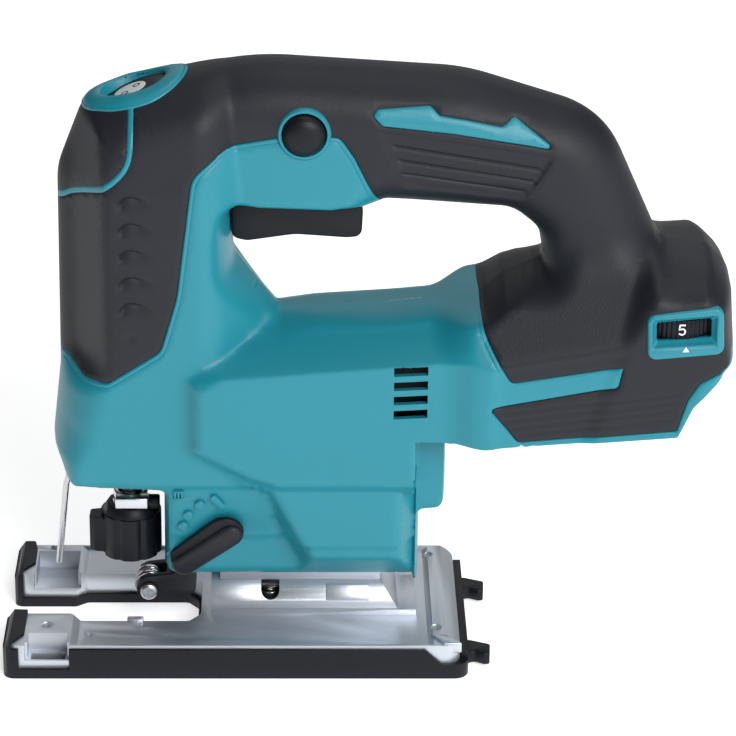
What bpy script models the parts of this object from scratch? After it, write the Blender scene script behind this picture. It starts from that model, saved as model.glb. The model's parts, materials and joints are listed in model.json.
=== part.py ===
"""Battery jigsaw with a D-handle: clamshell housing, motor, crank drive, blade rod and tilting base.

Sizes are in millimetres and become metres when a mesh is made. +X points to the rear of the tool,
-Y to its left side and +Z up. The origin is the middle of the base's sole, and the blade rod, the
motor shaft and the bevel axis all lie in the plane y = 0.
"""
import math

import bmesh
import bpy
import numpy as np
from mathutils import Matrix, Vector, geometry

MM = 0.001
GAP = 0.3                  # between pieces that touch

# base and bevel
BASE_LENGTH = 160.0
BASE_HALF_WIDTH = 38.5
SOLE_THICK = 3.0
BASE_TOP = 12.2
BEVEL_AXIS_Z = BASE_TOP    # the hump turns about the plate's top face
HUMP_RADIUS = 12.0
SLOT_HALF = 16.0           # opening round the blade
SLOT_END_X = -14.0
BOLT_X = 11.5

# drive
MOTOR_Z = 96.0
MODULE = 0.9
PINION_TEETH = 8
GEAR_TEETH = 44
GEAR_Z = MOTOR_Z + MODULE * (PINION_TEETH + GEAR_TEETH) / 2
CRANK_RADIUS = 13.0        # half of the 26 mm stroke
ROD_X = -37.0
ROD_RADIUS = 4.0
GEAR_FRONT_X = -22.5
GEAR_REAR_X = -16.5

# shell
GRIP_THICK = 1.3           # soft overmould
GRIP_RECESS = 1.7          # how deep the hard shell steps down under it
WALL = 3.9                 # hard shell, measured from the outer surface
PARTING = GAP / 2
SHELL_STEP = 12.5          # mesh spacing of the shell

# Side outline of the body: x, z, corner radius, rounding of the edge that starts here.
BODY = [
    (-24.8, 62.5, 2, 3), (-40, 63.2, 10, 3), (-55.5, 63.2, 6, 8), (-62.6, 79, 14, 16), (-59.8, 103, 30, 21),
    (-59.0, 174, 26, 19), (-50, 197.2, 9, 18), (-36, 203.2, 25, 17), (6, 212.3, 90, 17), (76, 208, 70, 17),
    (121, 193, 36, 17), (143.2, 148.2, 7, 9), (157, 146.8, 8, 9), (165.8, 138, 12, 7), (167.9, 116, 4, 3),
    (164.2, 112.6, 3, 1.5), (153.4, 101, 4, 1), (148.4, 90, 2, 1), (83, 84.9, 6, 1), (71.6, 86, 2, 1),
    (71.6, 55, 4, 3), (63, 54, 2, 2.5), (63, 27.2, 1, 2.5), (-12, 27.2, 4, 2.5), (-21, 24.8, 3.5, 2.5),
    (-25, 30, 3, 2.5),
]
# The opening of the D-handle, with the edge roundings of the material round it.
OPENING = [
    (-1.5, 163.8, 3, 8), (-0.5, 143.5, 6, 9), (14.5, 123.8, 2.5, 2.5), (54, 126, 40, 2.5),
    (69.5, 128, 20, 2.5), (80.5, 130.2, 12, 4), (89, 136.3, 12, 8), (103.5, 142.4, 3, 14), (101.5, 153.4, 9, 17),
    (92, 161, 12, 17), (50, 164, 4, 10), (44.2, 162.2, 2, 3),
]
# The soft overmould: over the front column, the top, the handle and the rear body. The outline
# runs outside the body where the overmould goes round its edge.
GRIP_AREA = [
    (-75, 108.5, 0), (-57, 109, 3), (-50.5, 105.7, 3), (-42.5, 105.7, 4), (-24.5, 117.5, 6), (-18.9, 137, 40),
    (-13.6, 179, 8), (-3, 187, 12), (14, 190, 4), (34.5, 190.4, 4), (39.5, 183, 10), (46, 169.5, 1),
    (48, 166, 0), (79.5, 152, 0), (80.2, 138, 0), (80.6, 133, 2), (83.5, 124, 30), (91.8, 110, 2),
    (127, 115.7, 3), (158, 120.5, 3), (176, 122, 0), (176, 224, 0), (-75, 224, 0),
]
# The motor bulge stands 4.5 mm proud of the nose and of the lower body.
BULGE = [
    (-16.5, 108, 0), (-16.5, 80, 4), (4.2, 69.2, 4), (14, 66, 0), (100, 66, 0), (100, 160, 0), (10, 160, 0),
    (5, 119.8, 0),
]
LOWER_PANEL = [(2, 72, 0), (8, 62.5, 3), (21.5, 36, 0), (21.5, 10, 0), (90, 10, 0), (90, 72, 0)]

COLOURS = {
    "shell": ((0.045, 0.36, 0.43), 0.42, 0.0), "grip": ((0.035, 0.038, 0.045), 0.75, 0.0),
    "black_plastic": ((0.03, 0.032, 0.038), 0.5, 0.0), "aluminium": ((0.62, 0.63, 0.66), 0.45, 1.0),
    "steel": ((0.55, 0.55, 0.56), 0.3, 1.0), "dark_steel": ((0.1, 0.1, 0.11), 0.45, 1.0),
    "copper": ((0.7, 0.34, 0.18), 0.35, 1.0), "circuit": ((0.05, 0.2, 0.1), 0.5, 0.0),
    "bronze": ((0.55, 0.4, 0.2), 0.5, 1.0), "rubber": ((0.02, 0.02, 0.02), 0.9, 0.0),
    "lens": ((0.9, 0.92, 0.95), 0.1, 0.0), "nylon": ((0.75, 0.75, 0.72), 0.6, 0.0),
}
MATERIALS = {}


def material(slot):
    if slot not in MATERIALS:
        colour, roughness, metallic = COLOURS[slot]
        made = bpy.data.materials.new(slot)
        made.use_nodes = True
        shader = made.node_tree.nodes["Principled BSDF"]
        shader.inputs["Base Color"].default_value = (*colour, 1)
        shader.inputs["Roughness"].default_value = roughness
        shader.inputs["Metallic"].default_value = metallic
        MATERIALS[slot] = made
    return MATERIALS[slot]


# ---------------------------------------------------------------- meshes

def add_mesh(name, verts, faces, slot, origin=(0, 0, 0)):
    """One closed object from points in millimetres, its own origin at origin."""
    bm = bmesh.new()
    made = [bm.verts.new((Vector(v) - Vector(origin)) * MM) for v in verts]
    for face in faces:
        bm.faces.new([made[i] for i in face])
    bmesh.ops.recalc_face_normals(bm, faces=bm.faces)
    mesh = bpy.data.meshes.new(name)
    bm.to_mesh(mesh)
    bm.free()
    mesh.shade_smooth()
    mesh.set_sharp_from_angle(angle=math.radians(35))
    obj = bpy.data.objects.new(name, mesh)
    obj.location = Vector(origin) * MM
    bpy.context.collection.objects.link(obj)
    mesh.materials.append(material(slot))
    return obj


def rounded(corners, step=4.0):
    """Closed outline from (x, y, radius) corners: each corner becomes an arc of that radius."""
    out = []
    count = len(corners)
    for i in range(count):
        here = Vector(corners[i][:2])
        radius = corners[i][2]
        to_last = Vector(corners[i - 1][:2]) - here
        to_next = Vector(corners[(i + 1) % count][:2]) - here
        turn = to_last.angle(to_next)
        if radius <= 0 or turn > math.radians(179.5):
            out.append(tuple(here))
            continue
        reach = min(radius / math.tan(turn / 2), 0.49 * to_last.length, 0.49 * to_next.length)
        radius = reach * math.tan(turn / 2)
        start = here + to_last.normalized() * reach
        end = here + to_next.normalized() * reach
        bisector = (to_last.normalized() + to_next.normalized()).normalized()
        centre = here + bisector * (radius / math.sin(turn / 2))
        spokes = max(1, math.ceil(radius * (math.pi - turn) / step), math.ceil((math.pi - turn) / 0.8))
        first = math.atan2(*(start - centre).yx)
        sweep = math.atan2(*(end - centre).yx) - first
        sweep = (sweep + math.pi) % (2 * math.pi) - math.pi
        for k in range(spokes + 1):
            angle = first + sweep * k / spokes
            out.append((centre.x + radius * math.cos(angle), centre.y + radius * math.sin(angle)))
    return out


PLANES = {"X": (1, 2, 0), "Y": (0, 2, 1), "Z": (0, 1, 2)}


def prism(name, outline, axis, low, high, slot, origin=(0, 0, 0)):
    """Outline drawn across the axis (YZ, XZ or XY) and extruded along it from low to high."""
    first, second, along = PLANES[axis]
    verts = []
    for level in (low, high):
        for u, v in outline:
            point = [0, 0, 0]
            point[first], point[second], point[along] = u, v, level
            verts.append(point)
    count = len(outline)
    faces = [list(range(count)), list(range(2 * count - 1, count - 1, -1))]
    faces += [[i, i + count, (i + 1) % count + count, (i + 1) % count] for i in range(count)]
    return add_mesh(name, verts, faces, slot, origin)


def box(name, x, y, z, slot):
    return prism(name, [(x[0], y[0]), (x[1], y[0]), (x[1], y[1]), (x[0], y[1])], "Z", z[0], z[1], slot)


def lathe(name, profile, axis, centre, slot, segments=16, phase=0.0):
    """Profile of (radius, distance along the axis), closed on itself or on the axis, turned round centre."""
    first, second, along = PLANES[axis]
    verts, rings, faces = [], [], []
    for radius, distance in profile:
        ring = []
        for k in range(segments if radius > 0 else 1):
            angle = phase + 2 * math.pi * k / segments
            point = [0, 0, 0]
            point[first] = centre[first] + radius * math.cos(angle)
            point[second] = centre[second] + radius * math.sin(angle)
            point[along] = centre[along] + distance
            ring.append(len(verts))
            verts.append(point)
        rings.append(ring)
    pairs = list(zip(rings, rings[1:]))
    if len(rings[0]) > 1 and len(rings[-1]) > 1:
        pairs.append((rings[-1], rings[0]))
    for a, b in pairs:
        for k in range(segments):
            face = [a[k % len(a)], a[(k + 1) % len(a)], b[(k + 1) % len(b)], b[k % len(b)]]
            faces.append(list(dict.fromkeys(face)))
    return add_mesh(name, verts, faces, slot, centre)


def cylinder(name, radius, low, high, axis, centre, slot, segments=16):
    return lathe(name, [(0, low), (radius, low), (radius, high), (0, high)], axis, centre, slot, segments)


def ring(name, inner, outer, low, high, axis, centre, slot, segments=16):
    profile = [(inner, low), (outer, low), (outer, high), (inner, high)]
    return lathe(name, profile, axis, centre, slot, segments)


def boolean(target, tools, operation):
    """One Boolean modifier with all its tools, which stay in the file as guides."""
    group = bpy.data.collections.new(f"{operation.lower()}_{target.name}")
    bpy.context.scene.collection.children.link(group)
    for tool in tools:
        tool.hide_render = True
        tool.display_type = "WIRE"
        for old in tool.users_collection:
            old.objects.unlink(tool)
        group.objects.link(tool)
    modifier = target.modifiers.new(operation.lower(), "BOOLEAN")
    modifier.operation = operation
    modifier.operand_type = "COLLECTION"
    modifier.collection = group
    modifier.solver = "EXACT"
    return target


def cut(target, *tools):
    return boolean(target, tools, "DIFFERENCE")


def join(target, *tools):
    return boolean(target, tools, "UNION")


# ---------------------------------------------------------------- body shell

def sampled(corners, step):
    """Points along a rounded outline, with the edge rounding that holds at each point."""
    plain = rounded([c[:3] for c in corners], step)
    points, radii = [], []
    following = corners[1:] + corners[:1]
    edges = [(Vector(c[:2]), Vector(after[:2]), c[3]) for c, after in zip(corners, following)]
    for i, start in enumerate(plain):
        a, b = Vector(start), Vector(plain[(i + 1) % len(plain)])
        pieces = max(1, round((b - a).length / step))
        for k in range(pieces):
            here = a.lerp(b, k / pieces)
            middle = a.lerp(b, (k + 0.5) / pieces)
            near = min(edges, key=lambda e: distance_to_edge(middle, e[0], e[1]))
            points.append(tuple(here))
            radii.append(near[2])
    return np.array(points), np.array(radii, float)


def distance_to_edge(point, a, b):
    along = max(0.0, min(1.0, (point - a).dot(b - a) / (b - a).length_squared))
    return (point - a.lerp(b, along)).length


def distances(points, loop):
    """Distance from every point to every segment of a closed loop."""
    a = loop
    d = np.roll(loop, -1, axis=0) - a
    rel = points[:, None, :] - a[None]
    along = np.clip((rel * d).sum(2) / (d * d).sum(1), 0, 1)
    return np.linalg.norm(rel - along[..., None] * d, axis=2)


def inside(points, loop):
    """Even-odd test of points against one closed loop."""
    x, y = points[:, 0][:, None], points[:, 1][:, None]
    ax, ay = loop[:, 0], loop[:, 1]
    bx, by = np.roll(ax, -1), np.roll(ay, -1)
    crosses = (ay > y) != (by > y)
    at = ax + (y - ay) * (bx - ax) / np.where(by == ay, 1e-9, by - ay)
    return (crosses & (x < at)).sum(1) % 2 == 1


def depth_inside(points, corners):
    """Signed distance into a rounded area, positive inside."""
    loop = np.array(rounded(corners))
    reach = distances(points, loop).min(1)
    return np.where(inside(points, loop), reach, -reach)


def half_width(x, z):
    """Half width of the body before its edges are rounded: each part is the least of its planes."""
    points = np.column_stack([x, z])
    slant = 14 + 0.313 * (z - 30)                       # front lower wall, leaning in to clear the base
    nose = np.minimum(27.0 - 0.1 * np.maximum(z - 172, 0), slant)
    nose = nose - 1.5 * np.maximum(x - np.where(z > 122, 1, 12), 0)
    trigger_side = np.minimum(21.0, 27 - 1.2 * (x + 4))
    handle = np.full_like(x, 18.3)
    crease_low = 109 + 0.08 * (x + 11)
    crease_mid = 115.7 + 0.09 * x
    crease_top = 121.8 + 0.09 * x
    side = np.clip(27 + depth_inside(points, BULGE), 27, 31.5)
    shoulder = 18 + (crease_mid - z) * 13.5 / (crease_mid - crease_low)
    crown = 8 + (crease_top - z) * 10 / (crease_top - crease_mid)
    motor = np.minimum.reduce([side, shoulder, crown])
    motor = np.where(depth_inside(points, BULGE) > 0, motor, 0)
    lower = np.minimum(np.clip(18 + 1.6 * depth_inside(points, LOWER_PANEL), 0, 27), z - BEVEL_AXIS_Z - 0.8)
    lower = np.where(z > 72, 0, lower)
    rear_end = 28 - 1.6 * np.maximum(x - 61, 0)
    lower = np.minimum(lower, rear_end)
    motor = np.where(z < 86, np.minimum(motor, 31.5 - 1.6 * np.maximum(x - 61, 0)), motor)
    brow = 113.5 + 0.13 * (x - 91)
    rear = np.where(z < brow, 36.0, 34.5 - 0.62 * (z - brow))
    rear = np.where(x > 128, np.minimum(36, 36 - 0.55 * (z - 136)), rear)
    rear = np.minimum(rear, 31.5 + 0.35 * (x - 72))
    rear = np.where(x < 72, 0, rear)
    column = np.where(x < 20, nose, 0)
    return np.maximum.reduce([column, np.where(z > 140, np.maximum(handle, trigger_side), 0),
                              motor, np.minimum(lower, 27), rear, np.minimum(slant, 12)])


def body_loops(step):
    return [sampled(BODY, step), sampled(OPENING, step)]


def surface(points, loops, inset, at_edge=False):
    """Half width of the body at each point, inset on every side. Small edge roundings stay sharp."""
    level = np.maximum(half_width(points[:, 0], points[:, 1]) - inset, 0.5)
    for loop, radii in loops:
        round_over = np.maximum(radii - inset, 0.2)
        ahead = np.where(round_over < 3.5, round_over, 0.3) * at_edge
        depth = np.clip((inset + round_over - distances(points, loop) - ahead) / round_over, 0, 1)
        level = level * np.sqrt(np.maximum(1 - depth ** 2, 0)).min(1)
    return level


def ring_points(loops, inset, angle):
    """Each loop moved into the material: to the inset edge, and over its rounding by the angle."""
    rings = []
    for index, (loop, radii) in enumerate(loops):
        along = np.roll(loop, -1, axis=0) - np.roll(loop, 1, axis=0)
        normal = np.column_stack([-along[:, 1], along[:, 0]])
        normal /= np.linalg.norm(normal, axis=1)[:, None]
        area = np.cross(loop, np.roll(loop, -1, axis=0)).sum()
        normal *= np.sign(area) * (1 if index == 0 else -1)
        corner = (radii + np.roll(radii, 1)) / 2
        reach = inset + np.maximum(corner - inset, 0.2) * (1 - math.cos(angle))
        moved = loop + normal * reach[:, None]
        clear = np.minimum.reduce([distances(moved, other).min(1) for other, _ in loops])
        rings.append(moved[clear > reach - 0.05])
    return rings


def thinned(points, fixed, spacing):
    """Points at least the spacing away from the fixed points and from each other."""
    kept = list(fixed)
    out = []
    for point in points:
        near = np.array(kept)
        if len(near) and np.linalg.norm(near - point, axis=1).min() < spacing:
            continue
        kept.append(point)
        out.append(point)
    return np.array(out).reshape(-1, 2)


def triangulated(rings, extra):
    """Triangles between an outer ring and the holes in it, through the extra points."""
    points = np.vstack(rings + [extra])
    edges, start = [], 0
    for loop in rings:
        edges += [(start + i, start + (i + 1) % len(loop)) for i in range(len(loop))]
        start += len(loop)
    result = geometry.delaunay_2d_cdt([Vector(p) for p in points], edges, [], 0, 1e-5)
    flat = np.array([tuple(v) for v in result[0]])
    faces = np.array([f for f in result[2]])
    middle = flat[faces].mean(1)
    keep = inside(middle, rings[0])
    for hole in rings[1:]:
        keep &= ~inside(middle, hole)
    return flat, faces[keep]


def body_solid(name, inset, back, side, slot="shell", step=SHELL_STEP):
    """One half of the body, inset on every side, from y = back out to its surface."""
    loops = body_loops(step)
    rings = ring_points(loops, inset, 0.0)
    extra = np.zeros((0, 2))
    fixed = np.vstack(rings)
    for angle in (42, 90):
        moved = np.vstack(ring_points(loops, inset, math.radians(angle)))
        fresh = thinned(moved, np.vstack([fixed, extra]), 0.28 * step)
        extra = np.vstack([extra, fresh])
    low, high = loops[0][0].min(0), loops[0][0].max(0)
    ticks = [np.arange(low[k], high[k], step) for k in (0, 1)]
    grid = np.stack(np.meshgrid(*ticks), -1)
    steps = [sampled([(*c, 0) for c in area], 0.8 * step)[0] for area in (BULGE, LOWER_PANEL)]
    grid = np.vstack(steps + [grid.reshape(-1, 2)])
    clear = np.minimum.reduce([(distances(grid, loop) - np.maximum(radii, inset)).min(1)
                               for loop, radii in loops])
    grid = grid[inside(grid, rings[0]) & ~inside(grid, rings[1]) & (clear > 0.4 * step)]
    extra = np.vstack([extra, thinned(grid, np.vstack([fixed, extra]), 0.5 * step)])
    flat, faces = triangulated(rings, extra)
    bare, back_faces = triangulated(rings, np.zeros((0, 2)))
    edge_count = len(fixed)
    level = surface(flat, loops, inset)
    level[:edge_count] = surface(flat[:edge_count], loops, inset, at_edge=True)
    level = np.maximum(level, PARTING + 0.3)
    verts = [(x, -side * w, z) for (x, z), w in zip(flat, level)]
    verts += [(x, -side * back, z) for x, z in bare]
    shift = len(flat)
    polygons = [list(f) for f in faces] + [[i + shift for i in f] for f in back_faces]
    start = 0
    for loop in rings:
        for i in range(len(loop)):
            a, b = start + i, start + (i + 1) % len(loop)
            polygons.append([a, b, b + shift, a + shift])
        start += len(loop)
    return add_mesh(name, verts, polygons, slot)


def shrunk(outline, amount):
    """Closed outline with every edge moved to the left of its direction of travel."""
    moved = []
    for i, here in enumerate(outline):
        here = Vector(here)
        following = Vector(outline[(i + 1) % len(outline)])
        along = (here - Vector(outline[i - 1])).normalized(), (following - here).normalized()
        normals = [Vector((-a.y, a.x)) for a in along]
        mitre = (normals[0] + normals[1]).normalized()
        moved.append(tuple(here + mitre * (amount / mitre.dot(normals[0]))))
    return moved


def slot_outline(start, end):
    return rounded([(start, -3.4, 3), (end, -3.4, 3), (end, 3.4, 3), (start, 3.4, 3)])


def area_prism(name, corners, side, smaller=0.0):
    return prism(name, shrunk(rounded(corners, 9), smaller), "Y", -60 * side, 10 * side, "shell")


# ---------------------------------------------------------------- housing and grips

SCREWS = [(60, 198), (97, 188), (124, 163.5), (76, 104), (66, 60), (54, 38), (10, 36)]
LOCK_BUTTON = (23.0, 191.5)
DIAL_X, DIAL_Y, DIAL_Z = 148.0, -20.9, 129.8
DIAL_RADIUS = 14.5
LEVER_PIVOT = (-2.9, 47.1)
LEVER_TILT = math.atan(0.313)      # the front lower wall leans in by this much
VENT_X = (53.0, 64.3)
VENT_Z = [97.1 + 5.2 * k for k in range(4)]


def housing_half(side, word):
    """Hard shell: outer body, stepped down under the grip, hollow, with bosses for the screws."""
    shell = body_solid(f"housing_{word}", 0.0, PARTING, side)
    step_down = area_prism(f"cut_step_{word}", GRIP_AREA, side)
    cut(step_down, body_solid(f"keep_under_grip_{word}", GRIP_RECESS, -12, side))
    cavity = body_solid(f"cut_cavity_{word}", WALL, -6, side, step=14.0)
    bosses = []
    for number, (x, z) in enumerate(SCREWS, 1):
        reach = sorted((8 * side, -60 * side))
        bosses.append(cylinder(f"keep_boss_{word}_{number}", 4.2, *reach, "Y", (x, 0, z), "shell", 10))
    cut(cavity, *bosses)
    tools = [
        box(f"cut_battery_{word}", (86.5, 190), (-31, 31), (70, 99.8), "shell"),
        cylinder(f"cut_nose_{word}", 15.6, 50, 80.4, "Z", (ROD_X, 0, 0), "shell", 20),
        cylinder(f"cut_wire_seat_{word}", 1.6, 60, 76.4, "Z", (WIRE_X, 0, 0), "shell", 10),
        prism(f"cut_bolt_{word}", slot_outline(BOLT_X - 4, BOLT_X + 19), "Z", 20, 40, "shell"),
        box(f"cut_trigger_{word}", (-2.7, 43.9), (-9.6, 9.6), (149, 172), "shell"),
        box(f"cut_arm_{word}", (-22.6, -11.5), (-6.9, 6.9), (15, 40.5), "shell"),
        cylinder(f"cut_arm_pin_{word}", 2.3, -10.6, 10.6, "Y", (ARM_PIVOT[0], 0, ARM_PIVOT[1]), "shell", 12),
    ]
    if side > 0:
        cam = cylinder("cut_cam", 4.1, -10.0, 20.0, "Y", (0, 0, 0), "shell", 12)
        cam.matrix_world = lever_frame()
        tools += [cam, box("cut_led_seat", (-26.3, -21.7), (-19.8, -15.2), (58, 66.3), "shell")]
    for number, z in enumerate(VENT_Z, 1):
        corners = [(VENT_X[0], z - 1.3), (VENT_X[1], z - 0.7), (VENT_X[1], z + 1.9), (VENT_X[0], z + 1.3)]
        tools.append(prism(f"cut_vent_{word}_{number}", corners, "Y", -40 * side, -22 * side, "shell"))
    return cut(shell, step_down, cavity, *tools, *shared_openings("housing", side, word))


def shared_openings(layer, side, word):
    """Holes through both the hard shell and the overmould of one half."""
    tools = [slanted(prism(f"cut_top_{layer}_{word}", button_outline(17.6, 9.6), "Z", -12, 20, "shell"))]
    for number, (x, z) in enumerate(SCREWS, 1):
        name = f"{layer}_{word}_{number}"
        if side < 0:
            tools.append(cylinder(f"cut_head_{name}", 3.6, 9.1, 60, "Y", (x, 0, z), "shell", 10))
            tools.append(cylinder(f"cut_shank_{name}", 2.0, -1, 9.5, "Y", (x, 0, z), "shell", 8))
        elif layer == "housing":
            tools.append(cylinder(f"cut_thread_{name}", 2.0, -11.6, 1, "Y", (x, 0, z), "shell", 8))
    if side > 0:
        x, z = LOCK_BUTTON
        tools.append(cylinder(f"cut_lock_{layer}", 7.5, -30, -9.8, "Y", (x, 0, z), "shell", 20))
        tools.append(cylinder(f"cut_dial_{layer}", DIAL_RADIUS + 0.6, -4.0, 4.0, "Z",
                              (DIAL_X, DIAL_Y, DIAL_Z), "shell", 24))
    return tools


def slanted(obj):
    """Moves a piece drawn round the origin onto the slanted top of the column."""
    obj.matrix_world = BUTTON_FRAME
    return obj


def grip_half(side, word):
    """Soft overmould over the stepped-down part of one housing half."""
    grip = body_solid(f"grip_{word}", 0.0, PARTING, side, "grip")
    area = area_prism(f"area_grip_{word}", GRIP_AREA, side, GAP)
    inner = body_solid(f"cut_grip_{word}", GRIP_THICK, -12, side)
    boolean(grip, [area], "INTERSECT")
    tools = [inner, *shared_openings("grip", side, word)]
    if side > 0:
        tools.append(prism("cut_dial_seat", frame_outline(GAP), "Y", -50, -20, "shell"))
    return cut(grip, *tools)


def button_outline(length, width, count=20):
    """Ellipse in the slanted plane of the top button."""
    return [(length * math.cos(2 * math.pi * k / count), width * math.sin(2 * math.pi * k / count))
            for k in range(count)]


BUTTON_SLOPE = math.radians(-22)
BUTTON_CENTRE = Vector((-33.5, 0, 201.0))
BUTTON_FRAME = Matrix.Translation(BUTTON_CENTRE * MM) @ Matrix.Rotation(BUTTON_SLOPE, 4, "Y")


def bezel():
    """Hard oval frame round the top button, let into the overmould."""
    frame = prism("button_bezel", button_outline(17.2, 9.2), "Z", -8.0, -0.2, "shell")
    return cut(slanted(frame), slanted(prism("cut_bezel", button_outline(12.6, 6.4), "Z", -12, 6, "shell")))


# ---------------------------------------------------------------- gear housing and crank drive

GEARBOX_Z = (80.5, 159.0)
BUSH_Z = (141.0, 153.0)


GEARBOX_PLAN = [(-9.3, -22.4), (-9.3, 22.4), (-33.5, 22.4), (-47.6, 11.5), (-47.6, -11.5), (-33.5, -22.4)]
GEAR_ROOM_PLAN = [(-10.8, -20.9), (-10.8, 20.9), (-33.0, 20.9), (-45.7, 10.6), (-60, 10.6), (-60, -10.6),
                  (-45.7, -10.6), (-33.0, -20.9)]


def gear_housing():
    """Cast box, open at the front, with the bearing seat behind and the rod's bores above and below."""
    body = prism("gear_housing", GEARBOX_PLAN, "Z", *GEARBOX_Z, "aluminium")
    join(body, ring("bearing_seat", 8.3, 10.2, -10.0, -2.0, "X", (0, 0, MOTOR_Z), "aluminium", 20))
    low = prism("cut_gear_room", GEAR_ROOM_PLAN, "Z", 83.5, 140.6, "aluminium")
    return cut(body, low,
               box("cut_weight_room", (-21.5, -10.8), (-16.5, 16.5), (130, 156.5), "aluminium"),
               cylinder("cut_upper_bush", 7.3, 130, 170, "Z", (ROD_X, 0, 0), "aluminium"),
               cylinder("cut_lower_bore", 4.8, 60, 90, "Z", (ROD_X, 0, 0), "aluminium", 12),
               cylinder("cut_shaft_bore", 5.0, -14, -5, "X", (0, 0, MOTOR_Z), "aluminium", 12),
               cylinder("cut_axle_bore", 3.3, -14, -5, "X", (0, 0, GEAR_Z), "aluminium", 12))


def gear(name, teeth, thickness, bore, centre_z, slot, phase):
    """Spur gear across X with slim trapezoid teeth."""
    pitch = MODULE * teeth / 2
    outline = []
    for k in range(teeth):
        middle = phase + 2 * math.pi * k / teeth
        for radius, share in ((pitch - 0.95 * MODULE, -0.27), (pitch + 0.75 * MODULE, -0.1),
                              (pitch + 0.75 * MODULE, 0.1), (pitch - 0.95 * MODULE, 0.27)):
            angle = middle + 2 * math.pi * share / teeth
            outline.append((radius * math.cos(angle), centre_z + radius * math.sin(angle)))
    body = prism(name, outline, "X", *thickness, slot, (0, 0, centre_z))
    if not bore:
        return body
    hole = cylinder(f"cut_{name}", bore, -40, 0, "X", (0, 0, centre_z), slot, 16)
    return cut(body, hole)


def crank_drive():
    gear("crank_gear", GEAR_TEETH, (GEAR_FRONT_X, GEAR_REAR_X), 3.3, GEAR_Z, "steel", -math.pi / 2)
    gear("pinion", PINION_TEETH, (GEAR_FRONT_X - 0.5, GEAR_REAR_X), 0, MOTOR_Z, "steel",
         math.pi / 2 + math.pi / PINION_TEETH)
    cylinder("crank_pin", 3.2, -27.2, GEAR_FRONT_X - GAP, "X", (0, 0, GEAR_Z - CRANK_RADIUS), "steel", 12)
    cylinder("gear_axle", 3.0, -24.5, -6.0, "X", (0, 0, GEAR_Z), "steel", 12)
    box("gear_cover", (-47.4, -44.8), (-10.3, 10.3), (83.8, 140.3), "aluminium")


def counterweight():
    """Fork-shaped plate behind the gear that moves against the rod."""
    arm, half, top, slot_top = 3.6, 15.0, 152.0, 137.5
    outline = [(-half, 118), (-arm, 118), (-arm, slot_top), (arm, slot_top), (arm, 118), (half, 118),
               (half, top), (-half, top)]
    return prism("counterweight", outline, "X", -15.6, -11.4, "dark_steel")


def blade_rod():
    """Round rod with the cross slot that the crank pin runs in, and its bushes."""
    centre = GEAR_Z - CRANK_RADIUS
    rod = cylinder("blade_rod", ROD_RADIUS, 46.5, 157, "Z", (ROD_X, 0, 0), "steel", 16)
    yoke = box("yoke_plate", (-33.0, -27.6), (-20, 20), (centre - 7.5, centre + 7.5), "steel")
    tie = box("yoke_tie", (-40.0, -32.0), (-6, 6), (centre - 7.5, centre + 7.5), "steel")
    join(rod, yoke, tie)
    cut(rod, box("cut_yoke", (-33.0 + 1.5, -20), (-16.6, 16.6), (centre - 3.7, centre + 3.7), "steel"))
    ring("rod_bush_upper", ROD_RADIUS + 0.1, 7.0, *BUSH_Z, "Z", (ROD_X, 0, 0), "bronze")
    ring("rod_guide", 6.1, 7.5, 83.8, 97.4, "Z", (ROD_X, 0, 0), "aluminium")
    ring("rod_bush_lower", ROD_RADIUS + 0.1, 5.8, 83.8, 97.4, "Z", (ROD_X, 0, 0), "bronze")


# ---------------------------------------------------------------- motor

def motor():
    axis = (0, 0, MOTOR_Z)
    front = GEAR_REAR_X + GAP
    lathe("rotor", [(0, front), (2.5, front), (2.5, 7), (12.2, 7), (12.2, 37), (2.5, 37), (2.5, 64), (0, 64)],
          "X", axis, "dark_steel", 16)
    ring("stator", 12.8, 23.0, 6, 38, "X", axis, "copper", 24)
    ring("motor_bearing_front", 2.7, 8.0, -7.7, -2.6, "X", axis, "steel")
    ring("motor_bearing_rear", 2.7, 6.5, 57.5, 62.5, "X", axis, "steel")
    ring("rear_bearing_holder", 6.8, 9.5, 57.0, 63.5, "X", axis, "rubber")
    fan = ring("cooling_fan", 2.8, 7.0, 43, 52, "X", axis, "nylon")
    blades = [ring("fan_disc", 5.0, 21.5, 43, 44.4, "X", axis, "nylon", 20)]
    for k in range(7):
        blade = box(f"fan_blade_{k + 1}", (44.0, 52.0), (-0.7, 0.7), (6.0, 21.0), "nylon")
        turn = Matrix.Rotation(2 * math.pi * k / 7, 4, "X")
        blade.matrix_world = Matrix.Translation(Vector(axis) * MM) @ turn
        blades.append(blade)
    return join(fan, *blades)


# ---------------------------------------------------------------- blade clamp, guide roller and wire guard

ROLLER = (-31.0, 17.5)
ARM_PIVOT = (-17.5, 34.0)
WIRE_X = -57.3


def blade_clamp():
    centre = (ROD_X, 0, 0)
    ring("blade_clamp", ROD_RADIUS + 0.3, 6.6, 46.4, 49.6, "Z", centre, "steel")
    ring("clamp_spring", ROD_RADIUS + 0.3, 6.0, 49.9, 54.0, "Z", centre, "steel", 12)
    opener = cylinder("tool_opener", 10.5, 30.5, 46.0, "Z", centre, "black_plastic", 20)
    join(opener, box("opener_wing", (-51.5, -45), (-4.5, 3), (32, 45), "black_plastic"))
    cut(opener, box("cut_blade_slot", (-44, -30), (-1.4, 1.4), (20, 44.5), "black_plastic"))


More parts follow.
